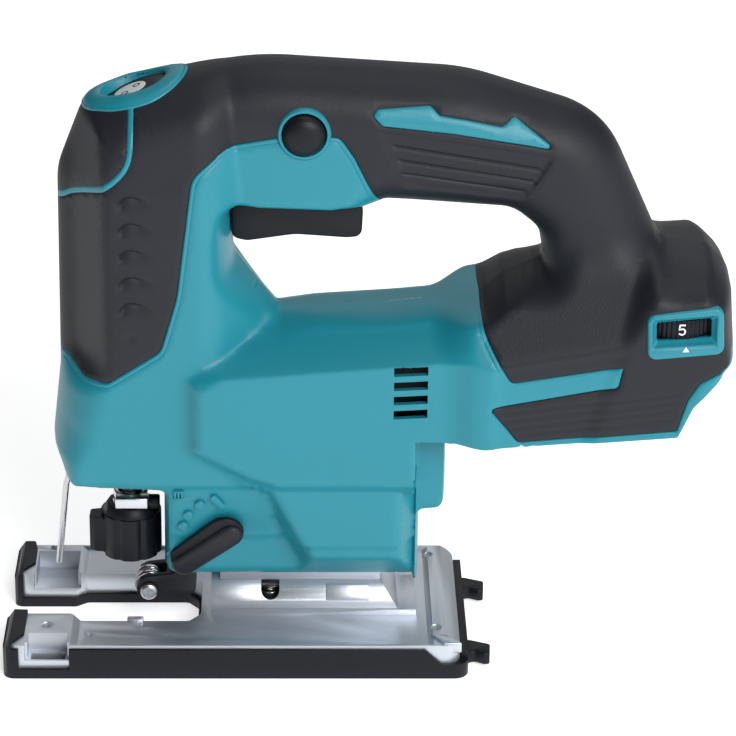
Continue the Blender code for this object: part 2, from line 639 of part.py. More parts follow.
def roller_guide():
    """Grooved roller behind the blade, on an arm that swings with the orbital cam."""
    x, z = ROLLER
    centre = (x, 0, z)
    profile = [(2.2, -3.2), (5.2, -3.2), (5.2, -0.9), (4.2, -0.9), (4.2, 0.9), (5.2, 0.9), (5.2, 3.2),
               (2.2, 3.2)]
    lathe("guide_roller", profile, "Y", centre, "steel", 16)
    cylinder("roller_pin", 1.9, -7.0, 7.0, "Y", centre, "steel", 12)
    px, pz = ARM_PIVOT
    outline = rounded([(x - 4.2, z - 4.2, 4), (x + 2, z - 4.2, 4), (px + 3, z - 2, 3), (px + 3, pz + 4, 1.5),
                       (px - 3.5, pz + 4, 3), (px - 3.5, z + 6, 2), (x - 4.2, z + 4.2, 4)], 3)
    arm = prism("roller_arm", outline, "Y", -6.2, 6.2, "dark_steel", (px, 0, pz))
    cut(arm, box("cut_fork", (-50, x + 6.2), (-3.6, 3.6), (5, 40), "dark_steel"),
        cylinder("cut_pin_bore", 2.2, -9, 9, "Y", centre, "dark_steel", 12),
        cylinder("cut_pivot_bore", 2.3, -9, 9, "Y", (px, 0, pz), "dark_steel", 12))
    cylinder("arm_pivot_pin", 2.0, -10.3, 10.3, "Y", (px, 0, pz), "steel", 12)
    cylinder("arm_push_rod", 1.7, pz + 4.3, pz + 18, "Z", (px + 2.1, 0, 0), "steel", 12)


def wire_guard():
    """Bent wire in front of the blade."""
    route = [(WIRE_X, 0, 76), (WIRE_X, 0, 62), (-59.2, 0, 56), (-62.6, 0, 25)]
    radius, sides = 1.2, 8
    verts, faces = [], []
    for i, point in enumerate(route):
        before = Vector(route[max(0, i - 1)])
        after = Vector(route[min(len(route) - 1, i + 1)])
        along = (after - before).normalized()
        across = Vector((0, 1, 0))
        up = along.cross(across)
        for k in range(sides):
            angle = 2 * math.pi * k / sides
            verts.append(Vector(point) + radius * (math.cos(angle) * across + math.sin(angle) * up))
    for i in range(len(route) - 1):
        for k in range(sides):
            a, b = i * sides + k, i * sides + (k + 1) % sides
            faces.append([a, b, b + sides, a + sides])
    faces += [list(range(sides)), list(range(len(verts) - sides, len(verts)))]
    return add_mesh("wire_guard", verts, faces, "steel")


# ---------------------------------------------------------------- controls

def lever_frame():
    """Frame on the leaning wall: the lever turns about its Y axis."""
    x, z = LEVER_PIVOT
    wall = 14 + 0.313 * (z - 30)
    return Matrix.Translation(Vector((x, -wall, z)) * MM) @ Matrix.Rotation(LEVER_TILT, 4, "X")


def lever():
    """Orbital lever on the leaning lower wall; it turns on an axis square to that wall."""
    point = math.radians(221.5)
    length, pivot_r, tip_r = 20.0, 6.0, 4.3
    outline = []
    for centre, radius, first in ((0.0, pivot_r, point + math.pi / 2), (length, tip_r, point - math.pi / 2)):
        middle = (centre * math.cos(point), centre * math.sin(point))
        for k in range(7):
            angle = first + math.pi * k / 6
            outline.append((middle[0] + radius * math.cos(angle), middle[1] + radius * math.sin(angle)))
    handle = prism("orbital_lever", outline, "Y", -3.2, -0.4, "black_plastic")
    shaft = cylinder("orbital_cam", 3.6, 0.0, 13.0, "Y", (0, 0, 0), "steel", 12)
    for piece in (handle, shaft):
        piece.matrix_world = lever_frame()
    return handle


def trigger_and_switch():
    """Trigger on its hinge at the front, pressing the switch's plunger side."""
    outline = rounded([(-1.2, 172, 1), (-1.2, 151.4, 3), (4, 150.2, 5), (20, 152.6, 20), (37, 151.4, 8),
                       (42.2, 151.8, 3), (42.6, 161, 2), (41, 167, 1), (9, 167, 1), (9, 172, 1)], 3)
    prism("trigger", outline, "Y", -9.2, 9.2, "black_plastic", (4.5, 0, 169))
    box("switch_body", (11, 40), (-9, 9), (175, 193), "black_plastic")
    ring("trigger_spring", 1.6, 3.0, 167.6, 174.4, "Z", (34, 0, 0), "steel", 12)
    x, z = LOCK_BUTTON
    cylinder("lock_button", 7.1, -23.6, -13.5, "Y", (x, 0, z), "black_plastic", 20)
    slanted(prism("power_button", button_outline(12.2, 6.0), "Z", -8, 0.2, "black_plastic"))
    slanted(box("power_button_board", (-14, 14), (-8, 8), (-11.5, -9.9), "circuit"))


def frame_outline(spare=0.0):
    """Rounded frame round the dial's window, in XZ."""
    low_x, high_x, low_z, high_z = 135.6 - spare, 161.0 + spare, 119.8 - spare, 138.2 + spare
    corners = [(low_x, low_z, 3), (high_x, low_z + 1, 3), (high_x, high_z, 3), (low_x, high_z - 1.5, 3)]
    return rounded(corners, 2)


def dial():
    """Thumb wheel for the speed, whose rim shows in the window of a frame on the left side."""
    profile = [(0, -5.5), (2.0, -5.5), (2.0, -3.3), (DIAL_RADIUS, -3.3), (DIAL_RADIUS, 3.3), (0, 3.3)]
    wheel = lathe("speed_dial", profile, "Z", (DIAL_X, DIAL_Y, DIAL_Z), "black_plastic", 24)
    frame = prism("dial_frame", frame_outline(), "Y", -36.2, -34.8, "shell")
    window = (DIAL_X - 9.2, DIAL_X + 9.2), (-40, -30), (DIAL_Z - 3.8, DIAL_Z + 3.8)
    cut(frame, box("cut_window", *window, "shell"))
    board = (DIAL_X - 12, DIAL_X + 3), (DIAL_Y - 4, DIAL_Y + 8), (DIAL_Z - 8.6, DIAL_Z - 6.9)
    box("dial_board", *board, "circuit")
    return wheel


# ---------------------------------------------------------------- battery seat and electronics

def battery_seat():
    """Inverted tray with two lips that hold a sliding battery, and the terminals inside it."""
    outline = [(-30.5, 99.4), (-30.5, 89), (-26, 89), (-26, 92), (-28, 92), (-28, 96.6), (28, 96.6), (28, 92),
               (26, 92), (26, 89), (30.5, 89), (30.5, 99.4)]
    prism("battery_rails", outline, "X", 87, 146, "black_plastic")
    box("terminal_block", (90, 112), (-16, 16), (89.0, 96.3), "black_plastic")
    for number, y in enumerate((-11, 11), 1):
        box(f"battery_terminal_{number}", (112.3, 124), (y - 0.5, y + 0.5), (90, 96.3), "copper")
    box("controller", (23, 52), (-17, 17), (50, 69), "dark_steel")
    box("led_lens", (-26, -22), (-19.5, -15.5), (63, 66), "lens")


# ---------------------------------------------------------------- base

def base_outline(inset=0.0):
    """Sole plate with rounded corners and the opening round the blade."""
    length, half = BASE_LENGTH / 2 - inset, BASE_HALF_WIDTH - inset
    toe, slot = 13.0 + inset, SLOT_HALF + inset
    end = SLOT_END_X + inset
    return rounded([(-length, -half, 4), (length, -half, 5), (length, half, 5), (-length, half, 4),
                    (-length, toe, 3), (-58, toe, 2), (-54, slot, 2), (end - 4, slot, 2), (end, slot - 5, 3),
                    (end, -slot + 5, 3), (end - 4, -slot, 2), (-54, -slot, 2), (-58, -toe, 2),
                    (-length, -toe, 3)], 3)


def half_disc(radius, low_z, count=12):
    arc = [(radius * math.cos(math.pi * k / count), BEVEL_AXIS_Z + radius * math.sin(math.pi * k / count))
           for k in range(count + 1)]
    return [(radius, low_z)] + arc + [(-radius, low_z)]


def base():
    """Cast base: plate, raised hump for the bevel, pocket below, and the arc slot for the bolt."""
    pivot = (0, 0, BEVEL_AXIS_Z)
    plate = prism("base", base_outline(), "Z", SOLE_THICK + GAP, BASE_TOP, "aluminium", pivot)
    join(plate, prism("base_hump", half_disc(HUMP_RADIUS, BASE_TOP - 3), "X", -9, 54, "aluminium"))
    reach = 16.0
    arc = [(reach * math.cos(math.radians(a)), BEVEL_AXIS_Z + reach * math.sin(math.radians(a)))
           for a in range(22, 159, 17)]
    return cut(plate,
               prism("cut_hump_inside", half_disc(9.2, 0), "X", -5, 50, "aluminium"),
               prism("cut_arc_slot", [(0, BEVEL_AXIS_Z + 1)] + arc, "X", BOLT_X - 3.4, BOLT_X + 3.4,
                     "aluminium"),
               box("cut_pocket_left", (-50, 72), (-35.5, -19), (0, 9.2), "aluminium"),
               box("cut_pocket_right", (-50, 72), (19, 35.5), (0, 9.2), "aluminium"))


def sole():
    """Plastic cover under the base with a rim round it and two hooks at the rear."""
    pivot = (0, 0, BEVEL_AXIS_Z)
    cover = prism("base_cover", base_outline(), "Z", 0, SOLE_THICK, "black_plastic", pivot)
    hooks = []
    for number, y in enumerate((-26, 20), 1):
        hooks.append(box(f"cover_hook_{number}", (76, 88), (y - 5, y + 5), (0.5, 2.6), "black_plastic"))
    join(cover, *hooks)
    return cut(cover, cylinder("cut_bolt_access", 5.5, -5, 10, "Z", (BOLT_X, 0, 0), "black_plastic", 12))


def base_clamp():
    """Curved plate inside the hump and the bolt that pulls it up against the base."""
    def arc(radius, first, last):
        return [(radius * math.cos(math.radians(a)), BEVEL_AXIS_Z + radius * math.sin(math.radians(a)))
                for a in np.linspace(first, last, 6)]
    plate = prism("clamp_plate", arc(8.8, 50, 130) + arc(5.6, 130, 50), "X", 2, 38, "steel")
    cut(plate, cylinder("cut_clamp_bolt", 3.2, 10, 30, "Z", (BOLT_X, 0, 0), "steel", 12))
    lathe("clamp_bolt", [(0, 11.8), (4.6, 11.8), (4.6, 15.3), (2.9, 15.3), (2.9, 34), (0, 34)],
          "Z", (BOLT_X, 0, 0), "steel", 12)
    cradle = [(8, 26.9), (8, 22.2)]
    cradle += [(y, BEVEL_AXIS_Z + math.sqrt(12.4 ** 2 - y * y)) for y in np.linspace(7.4, -7.4, 7)]
    cradle += [(-8, 22.2), (-8, 26.9)]
    seat = prism("bevel_seat", cradle, "X", -6, 50, "aluminium")
    cut(seat, box("cut_seat", (BOLT_X - 3.6, BOLT_X + 18.6), (-3.4, 3.4), (15, 40), "aluminium"))


def screws():
    """Housing screws, driven in from the right."""
    profile = [(0, 12.0), (3.2, 12.0), (3.2, 9.5), (1.6, 9.5), (1.6, -11), (0, -11)]
    for number, (x, z) in enumerate(SCREWS, 1):
        lathe(f"housing_screw_{number}", profile, "Y", (x, 0, z), "steel", 10)


def main():
    for obj in list(bpy.data.objects):
        bpy.data.objects.remove(obj, do_unlink=True)
    for side, word in ((1, "left"), (-1, "right")):
        housing_half(side, word)
        grip_half(side, word)
    bezel()
    gear_housing()
    crank_drive()
    counterweight()
    blade_rod()
    motor()
    blade_clamp()
    roller_guide()
    wire_guard()
    lever()
    trigger_and_switch()
    dial()
    battery_seat()
    base()
    sole()
    base_clamp()
    screws()


main()
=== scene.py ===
"""Looks of the battery jigsaw: fine shells, castings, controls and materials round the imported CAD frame.

Lengths are in millimetres until a mesh is made. +X is the rear of the tool, -Y its left side, +Z up.
"""
import json
import math

import bmesh
import bpy
import numpy as np
from mathutils import Matrix, Vector, geometry


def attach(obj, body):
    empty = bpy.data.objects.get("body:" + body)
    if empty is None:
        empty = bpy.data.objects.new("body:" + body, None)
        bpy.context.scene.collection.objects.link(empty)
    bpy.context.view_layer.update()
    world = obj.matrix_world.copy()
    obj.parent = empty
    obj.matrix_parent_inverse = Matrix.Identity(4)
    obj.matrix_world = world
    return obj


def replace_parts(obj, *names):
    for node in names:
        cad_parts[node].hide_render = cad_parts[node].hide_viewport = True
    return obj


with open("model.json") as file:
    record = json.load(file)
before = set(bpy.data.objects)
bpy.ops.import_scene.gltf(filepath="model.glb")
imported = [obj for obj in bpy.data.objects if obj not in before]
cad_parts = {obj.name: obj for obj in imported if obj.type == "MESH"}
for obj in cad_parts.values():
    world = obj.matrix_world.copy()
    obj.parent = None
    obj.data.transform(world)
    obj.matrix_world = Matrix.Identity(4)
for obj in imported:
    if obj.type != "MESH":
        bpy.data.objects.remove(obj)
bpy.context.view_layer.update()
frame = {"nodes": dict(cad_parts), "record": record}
MM = 0.001
LEFT, RIGHT = 1, -1


# ---------------------------------------------------------------- outlines

def rounded(corners, step=1.6):
    """Closed outline from (x, y, radius) corners: each corner becomes an arc of that radius."""
    out = []
    count = len(corners)
    for i in range(count):
        here = Vector(corners[i][:2])
        radius = corners[i][2]
        to_last = Vector(corners[i - 1][:2]) - here
        to_next = Vector(corners[(i + 1) % count][:2]) - here
        turn = to_last.angle(to_next)
        if radius <= 0 or turn > math.radians(179.5):
            out.append(tuple(here))
            continue
        reach = min(radius / math.tan(turn / 2), 0.49 * to_last.length, 0.49 * to_next.length)
        radius = reach * math.tan(turn / 2)
        start = here + to_last.normalized() * reach
        end = here + to_next.normalized() * reach
        bisector = (to_last.normalized() + to_next.normalized()).normalized()
        centre = here + bisector * (radius / math.sin(turn / 2))
        spokes = max(2, math.ceil(radius * (math.pi - turn) / step), math.ceil((math.pi - turn) / 0.3))
        first = math.atan2(*(start - centre).yx)
        sweep = math.atan2(*(end - centre).yx) - first
        sweep = (sweep + math.pi) % (2 * math.pi) - math.pi
        for k in range(spokes + 1):
            angle = first + sweep * k / spokes
            out.append((centre.x + radius * math.cos(angle), centre.y + radius * math.sin(angle)))
    return out


def spaced(points, step, closed=True):
    """The same line with points no further apart than the step."""
    points = [np.array(p, float) for p in points]
    out = []
    ends = points[1:] + points[:1] if closed else points[1:]
    for a, b in zip(points, ends):
        length = np.linalg.norm(b - a)
        if length < 0.05:
            continue
        pieces = max(1, round(length / step))
        out += [a + (b - a) * k / pieces for k in range(pieces)]
    if not closed:
        out.append(points[-1])
    return np.array(out)


def distances(points, line, closed=True):
    """Distance from every point to every segment of a line."""
    a = line if closed else line[:-1]
    d = (np.roll(line, -1, axis=0) - line) if closed else line[1:] - line[:-1]
    out = np.empty((len(points), len(a)), np.float32)
    for start in range(0, len(points), 4000):
        rel = points[start:start + 4000, None, :] - a[None]
        along = np.clip((rel * d).sum(2) / np.maximum((d * d).sum(1), 1e-9), 0, 1)
        out[start:start + 4000] = np.linalg.norm(rel - along[..., None] * d, axis=2)
    return out


def inside(points, loop):
    """Even-odd test of points against one closed loop."""
    out = np.zeros(len(points), bool)
    ax, ay = loop[:, 0], loop[:, 1]
    bx, by = np.roll(ax, -1), np.roll(ay, -1)
    rise = np.where(by == ay, 1e-9, by - ay)
    for start in range(0, len(points), 4000):
        x = points[start:start + 4000, 0][:, None]
        y = points[start:start + 4000, 1][:, None]
        crosses = (ay > y) != (by > y)
        out[start:start + 4000] = (crosses & (x < ax + (y - ay) * (bx - ax) / rise)).sum(1) % 2 == 1
    return out


def depth_inside(points, loop):
    """Signed distance into a closed loop, positive inside."""
    reach = distances(points, loop).min(1)
    return np.where(inside(points, loop), reach, -reach)


def soft_min(a, b, radius):
    gap = np.maximum(radius - np.abs(a - b), 0)
    return np.minimum(a, b) - gap * gap / (4 * radius)


def soft_max(a, b, radius):
    return -soft_min(-a, -b, radius)


def smooth_step(value):
    value = np.clip(value, 0, 1)
    return value * value * (3 - 2 * value)


def moved_line(line, amount, closed=True):
    """A line shifted sideways, to the left of its direction of travel."""
    if closed:
        along = np.roll(line, -1, axis=0) - np.roll(line, 1, axis=0)
    else:
        along = np.gradient(line, axis=0)
    normal = np.column_stack([-along[:, 1], along[:, 0]])
    normal /= np.maximum(np.linalg.norm(normal, axis=1), 1e-9)[:, None]
    return line + normal * amount


def eased(line, reach):
    """An open line with its corners eased by a running mean; its ends stay."""
    out = line.copy()
    for i in range(1, len(line) - 1):
        span = min(reach, i, len(line) - 1 - i)
        out[i] = line[i - span:i + span + 1].mean(0)
    return out


def polar(radius, angle, centre=(0, 0)):
    """Point at a radius and an angle in radians round a centre."""
    return centre[0] + radius * math.cos(angle), centre[1] + radius * math.sin(angle)


def bands(count, rings):
    """Quads between rings of count points each, listed one ring after another."""
    return [(k * count + i, k * count + (i + 1) % count, (k + 1) * count + (i + 1) % count,
             (k + 1) * count + i)
            for k in range(rings - 1) for i in range(count)]


# ---------------------------------------------------------------- meshes

def add_mesh(name, verts, faces, finish, body, smooth=40):
    """One object from points in millimetres, with its finish, riding on a CAD body."""
    mesh = bpy.data.meshes.new(name)
    mesh.from_pydata([tuple(c * MM for c in v) for v in verts], [], [list(f) for f in faces])
    mesh.validate()
    mesh.shade_smooth()
    if smooth < 180:
        mesh.set_sharp_from_angle(angle=math.radians(smooth))
    obj = bpy.data.objects.new(name, mesh)
    bpy.context.scene.collection.objects.link(obj)
    mesh.materials.append(MATERIALS[finish])
    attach(obj, body)
    return obj


def apply(obj):
    """Turns an object's modifiers into its mesh."""
    bpy.context.view_layer.update()
    evaluated = obj.evaluated_get(bpy.context.evaluated_depsgraph_get())
    mesh = bpy.data.meshes.new_from_object(evaluated)
    obj.modifiers.clear()
    obj.data = mesh
    return obj


def outward(obj):
    """Faces turned to look outward."""
    bm = bmesh.new()
    bm.from_mesh(obj.data)
    bmesh.ops.recalc_face_normals(bm, faces=bm.faces)
    bm.to_mesh(obj.data)
    bm.free()
    return obj


def bevelled(obj, width, segments=2, angle=30):
    """Rounds the edges of a hard piece by the width in millimetres."""
    bevel = obj.modifiers.new("edges", "BEVEL")
    bevel.width = width * MM
    bevel.segments = segments
    bevel.angle_limit = math.radians(angle)
    bevel.use_clamp_overlap = True
    bevel.harden_normals = False
    apply(obj)
    obj.data.shade_smooth()
    obj.data.set_sharp_from_angle(angle=math.radians(50))
    return obj


PLANES = {"X": (1, 2, 0), "Y": (0, 2, 1), "Z": (0, 1, 2)}


def prism(name, outline, axis, low, high, finish, body, edge=0.0):
    """Outline drawn across the axis (YZ, XZ or XY), extruded along it, with rounded edges."""
    first, second, along = PLANES[axis]
    verts = []
    for level in (low, high):
        for u, v in outline:
            point = [0, 0, 0]
            point[first], point[second], point[along] = u, v, level
            verts.append(point)
    count = len(outline)
    faces = [list(range(count)), list(range(2 * count - 1, count - 1, -1))]
    faces += [[i, i + count, (i + 1) % count + count, (i + 1) % count] for i in range(count)]
    obj = outward(add_mesh(name, verts, faces, finish, body))
    return bevelled(obj, edge) if edge else obj


def box(name, x, y, z, finish, body, edge=0.0):
    corners = [(x[0], y[0]), (x[1], y[0]), (x[1], y[1]), (x[0], y[1])]
    return prism(name, corners, "Z", z[0], z[1], finish, body, edge)


def lathe(name, profile, axis, centre, finish, body, segments=48, edge=0.0, closed=True):
    """Profile of (radius, distance along the axis) turned round the centre."""
    first, second, along = PLANES[axis]
    verts, rings, faces = [], [], []
    for radius, distance in profile:
        ring = []
        for k in range(segments if radius > 0 else 1):
            angle = 2 * math.pi * k / segments
            point = [0, 0, 0]
            point[first] = centre[first] + radius * math.cos(angle)
            point[second] = centre[second] + radius * math.sin(angle)
            point[along] = centre[along] + distance
            ring.append(len(verts))
            verts.append(point)
        rings.append(ring)
    pairs = list(zip(rings, rings[1:]))
    if closed and len(rings[0]) > 1 and len(rings[-1]) > 1:
        pairs.append((rings[-1], rings[0]))
    for a, b in pairs:
        for k in range(segments):
            face = [a[k % len(a)], a[(k + 1) % len(a)], b[(k + 1) % len(b)], b[k % len(b)]]
            faces.append(list(dict.fromkeys(face)))
    obj = outward(add_mesh(name, verts, faces, finish, body))
    return bevelled(obj, edge) if edge else obj


def cut(target, *tools):
    """Takes the tools out of the target and removes them."""
    for tool in tools:
        modifier = target.modifiers.new("cut", "BOOLEAN")
        modifier.operation = "DIFFERENCE"
        modifier.object = tool
        modifier.solver = "EXACT"
        apply(target)
    drop(*tools)
    return target


def join(target, *others):
    for other in others:
        modifier = target.modifiers.new("join", "BOOLEAN")
        modifier.operation = "UNION"
        modifier.object = other
        modifier.solver = "EXACT"
        apply(target)
    drop(*others)
    return target


def drop(*tools):
    for tool in tools:
        bpy.data.objects.remove(tool, do_unlink=True)


# ---------------------------------------------------------------- materials

MATERIALS = {}


def finish(name, slot, colour, roughness, metallic=0.0, grain=0.0, size=900.0, mottle=0.06, spread=0.06,
           coat=0.0,
           stretch=(1, 1, 1), specular=0.5):
    """Principled finish with fine grain in its bump, roughness and colour."""
    made = bpy.data.materials.new(name)
    made.use_nodes = True
    nodes, links = made.node_tree.nodes, made.node_tree.links
    shader = nodes["Principled BSDF"]
    shader.inputs["Metallic"].default_value = metallic
    shader.inputs["Specular IOR Level"].default_value = specular
    shader.inputs["Coat Weight"].default_value = coat
    shader.inputs["Coat Roughness"].default_value = 0.25
    place = nodes.new("ShaderNodeTexCoord")
    mapping = nodes.new("ShaderNodeMapping")
    mapping.inputs["Scale"].default_value = stretch
    links.new(place.outputs["Object"], mapping.inputs["Vector"])
    fine = nodes.new("ShaderNodeTexNoise")
    fine.inputs["Scale"].default_value = size
    fine.inputs["Detail"].default_value = 3.0
    broad = nodes.new("ShaderNodeTexNoise")
    broad.inputs["Scale"].default_value = 35.0
    broad.inputs["Detail"].default_value = 4.0
    for noise in (fine, broad):
        links.new(mapping.outputs["Vector"], noise.inputs["Vector"])
    tone = nodes.new("ShaderNodeMixRGB")
    dark = tuple(c * (1 - mottle) for c in colour)
    light = tuple(min(1, c * (1 + mottle)) for c in colour)
    tone.inputs["Color1"].default_value = (*dark, 1)
    tone.inputs["Color2"].default_value = (*light, 1)
    links.new(broad.outputs["Fac"], tone.inputs["Fac"])
    links.new(tone.outputs["Color"], shader.inputs["Base Color"])
    rough = nodes.new("ShaderNodeMapRange")
    rough.inputs["To Min"].default_value = roughness - spread
    rough.inputs["To Max"].default_value = roughness + spread
    links.new(fine.outputs["Fac"], rough.inputs["Value"])
    links.new(rough.outputs["Result"], shader.inputs["Roughness"])
    if grain:
        bump = nodes.new("ShaderNodeBump")
        bump.inputs["Strength"].default_value = grain
        bump.inputs["Distance"].default_value = 0.0002
        links.new(fine.outputs["Fac"], bump.inputs["Height"])
        links.new(bump.outputs["Normal"], shader.inputs["Normal"])
    MATERIALS[name] = made
    return made


def finishes():
    finish("teal_shell", "shell", (0.010, 0.243, 0.315), 0.42, grain=0.25, size=1500, mottle=0.03)
    finish("black_grip", "grip", (0.012, 0.014, 0.020), 0.52, grain=0.35, size=1800, mottle=0.10,
           specular=0.36)
    finish("black_moulding", "black_plastic", (0.0045, 0.006, 0.010), 0.45, grain=0.25, size=1600,
           mottle=0.08,
           specular=0.28)
    finish("cast_aluminium", "aluminium", (0.62, 0.65, 0.71), 0.38, 0.75, grain=0.16, size=900, mottle=0.08)
    finish("machined_aluminium", "aluminium", (0.66, 0.68, 0.71), 0.28, 1.0, grain=0.2, size=500,
           stretch=(0.08, 1, 1))
    finish("bright_steel", "steel", (0.56, 0.56, 0.57), 0.25, 1.0, grain=0.1, size=700, stretch=(1, 1, 0.1))
    finish("zinc_steel", "steel", (0.62, 0.63, 0.66), 0.36, 1.0, grain=0.3, size=900)
    finish("black_steel", "dark_steel", (0.03, 0.03, 0.034), 0.42, 0.6, grain=0.3, size=900)
    finish("copper_winding", "copper", (0.62, 0.30, 0.14), 0.35, 1.0, grain=0.4, size=500,
           stretch=(0.1, 1, 1))
    finish("board", "circuit", (0.03, 0.14, 0.07), 0.45, grain=0.2, size=700, mottle=0.2)
    finish("sintered_bronze", "bronze", (0.5, 0.36, 0.18), 0.5, 1.0, grain=0.4, size=1200)
    finish("black_rubber", "rubber", (0.018, 0.018, 0.02), 0.8, grain=0.4, size=1400)
    finish("clear_lens", "lens", (0.85, 0.88, 0.9), 0.08, coat=1.0)
    finish("natural_nylon", "nylon", (0.7, 0.7, 0.66), 0.5, grain=0.2, size=900)
    finish("white_print", "shell", (0.8, 0.82, 0.83), 0.5, grain=0.1, size=900, mottle=0.02)


CAD_FINISHES = {
    "shell": "teal_shell", "grip": "black_grip", "black_plastic": "black_moulding",
    "aluminium": "cast_aluminium",
    "steel": "bright_steel", "dark_steel": "black_steel", "copper": "copper_winding", "circuit": "board",
    "bronze": "sintered_bronze", "rubber": "black_rubber", "lens": "clear_lens", "nylon": "natural_nylon",
}


def dress_cad():
    """Finishes and softly rounded edges on the CAD nodes that stay visible."""
    slots = {part["node"]: part["material_slot"] for part in frame["record"]["subparts"]}
    for name, node in frame["nodes"].items():
        node.data.materials.clear()
        node.data.materials.append(MATERIALS[CAD_FINISHES[slots[name]]])
        weld = node.modifiers.new("weld", "WELD")
        weld.merge_threshold = 0.00001
        bevel = node.modifiers.new("edges", "BEVEL")
        bevel.width = 0.00035
        bevel.segments = 2
        bevel.angle_limit = math.radians(35)
        node.data.shade_smooth()


# ------------------------------------------------ body shell, as a relief on both sides of y = 0

PARTING = 0.02
GRID = 1.5

# Side outline: x, z, corner radius, rounding of the edge that starts here.
BODY = [
    (-24.8, 62.5, 2, 3), (-40, 63.2, 10, 3), (-57.5, 63.8, 5, 7), (-62.8, 77, 10, 16), (-59.8, 103, 30, 21),
    (-59.0, 174, 26, 19), (-50, 197.2, 9, 18), (-36, 203.2, 25, 17), (6, 212.3, 90, 17), (76, 208, 70, 17),
    (122.2, 193.4, 32, 17), (142.7, 148.3, 7, 9), (158.2, 147.0, 8, 9), (166.3, 138.6, 10, 7),
    (167.9, 116, 4, 3),
    (164.2, 112.6, 3, 1.5), (153.4, 101, 4, 1), (148.4, 90, 2, 1), (83, 84.9, 6, 1), (71.6, 86, 2, 1),
    (71.6, 55, 4, 2), (63, 54, 2, 2), (63, 27.2, 1, 1.4), (-12, 27.2, 4, 2), (-21, 24.8, 3.5, 2.5),
    (-25, 30, 3, 2.5),
]
OPENING = [
    (-1.5, 163.8, 3, 8), (-0.5, 143.5, 6, 9), (14.5, 123.8, 2.5, 2.5), (54, 125.2, 40, 2.5),
    (69.5, 127, 20, 2.5),
    (83, 129.4, 3, 2.5), (90, 135.9, 3, 6), (103.5, 142.4, 3, 14), (101.5, 153.4, 9, 17), (92, 161, 12, 17),
    (50, 164, 4, 10), (44.2, 162.2, 2, 3),
]
GRIP_AREA = [
    (-75, 108.5, 0), (-57, 109, 3), (-50.5, 105.7, 3), (-42.5, 105.7, 4), (-24.5, 117.5, 6), (-18.9, 137, 40),
    (-13.6, 179, 8), (-3, 187, 12), (14, 190, 4), (34.5, 190.4, 4), (39.5, 183, 10), (46, 169.5, 1),
    (48, 166, 0), (79.5, 152, 0), (80.2, 138, 0), (80.6, 133, 2), (83.5, 124, 30), (91.8, 110, 2),
    (127, 115.7, 3), (158, 120.5, 3), (176, 122, 0), (176, 224, 0), (-75, 224, 0),
]
LOWER_BLACK = [
    (84.8, 100.8, 1), (127.2, 108.8, 2), (128.8, 117, 0), (129.5, 122, 0), (165, 124, 0), (165, 118.5, 2),
    (160.6, 114.2, 3), (154.2, 110.4, 3), (150.6, 104.5, 3), (147.4, 93.2, 1), (94.5, 88.4, 2),
]
INLAY = [
    (45.2, 197.6, 1.2), (47.0, 199.6, 1), (64.0, 200.6, 2), (67.0, 197.6, 1.5), (75.4, 196.2, 3),
    (87.6, 193.6, 2),
    (91.5, 196.6, 1.5), (105.6, 185.8, 0.8), (96, 187.6, 6), (72, 191.6, 8), (48.4, 194.2, 2),
]
GROOVED = [(48, 192.6, 1.5), (104.8, 183.8, 1.5), (95.4, 167.8, 2.5), (55.4, 173.2, 2)]
GROOVES = [[(51.0, 187.4), (101.6, 179.0)], [(52.8, 182.4), (99.8, 174.6)], [(54.2, 177.6), (97.0, 170.6)]]
BULGE = [
    (-16.5, 108, 3), (-16.5, 80, 4), (4.2, 69.2, 4), (14, 66, 0), (100, 66, 0), (100, 160, 0), (10, 160, 0),
    (5, 119.8, 3),
]
LOWER_PANEL = [(2, 72, 0), (8, 62.5, 3), (21.5, 36, 0), (21.5, 10, 0), (60.8, 10, 0), (60.8, 72, 0)]
CAP_LINE = [(-33.3, 205.5), (-33.3, 192), (-33.4, 186.6), (-34.0, 184), (-35.2, 181.4), (-37.2, 179),
            (-40, 176.6), (-43.6, 174.2), (-48, 171.8), (-53, 168.6), (-57, 165.6), (-62, 162.4)]
NOTCH = [(-37.9, -2.6), (-37.2, 0.6), (-35.4, 2.2), (-33.2, 2.4), (-25.4, 0.2)]
NOTCH_HEIGHTS = [170.2, 161.0, 151.6, 142.0, 132.8]
LOWER_RIBS = [[(86.5, 98.9), (148.5, 107.0)], [(88.5, 96.2), (148.0, 104.2)], [(90.5, 93.5), (147.4, 101.2)],
              [(92.5, 90.9), (146.9, 98.0)]]
DIMPLE = (-34.4, 122.4)
VENT_X = (53.0, 64.3)
VENT_Z = [97.1 + 5.2 * k for k in range(4)]
VENT_LOW, VENT_TALL, VENT_SLOPE = -1.8, 3.1, 0.053
LOCK_BUTTON = (23.0, 191.5)
LOCK_HOLE = 7.5
DIAL = (148.0, -20.9, 129.8)
DIAL_HOLE = (-10.2, 10.8, 5.0)
SCREW_HOLE = 3.6
WALL_LEAN = 0.313
ROD_X = -37
TILT_Z = 12.2
SCREWS = [(60, 198), (97, 188), (124, 163.5), (76, 104), (66, 60), (54, 38), (10, 36)]
LEVER_PIVOT = (-2.9, 47.1)


def loop_of(corners, step=1.2):
    return spaced(rounded([c[:3] for c in corners]), step)


def edge_roundings(corners, loop):
    """The edge rounding at each point of a loop, with gradual changes from one edge to the next."""
    starts = np.array([c[:2] for c in corners], float)
    reach = distances(loop, starts)
    radii = np.array([c[3] for c in corners], float)[reach.argmin(1)]
    span = 7
    padded = np.concatenate([radii[-span:], radii, radii[:span]])
    return np.convolve(padded, np.ones(2 * span + 1) / (2 * span + 1), "valid")


def body_loops(step=1.5):
    out = []
    for corners in (BODY, OPENING):
        loop = loop_of(corners, step)
        out.append((loop, edge_roundings(corners, loop)))
    return out


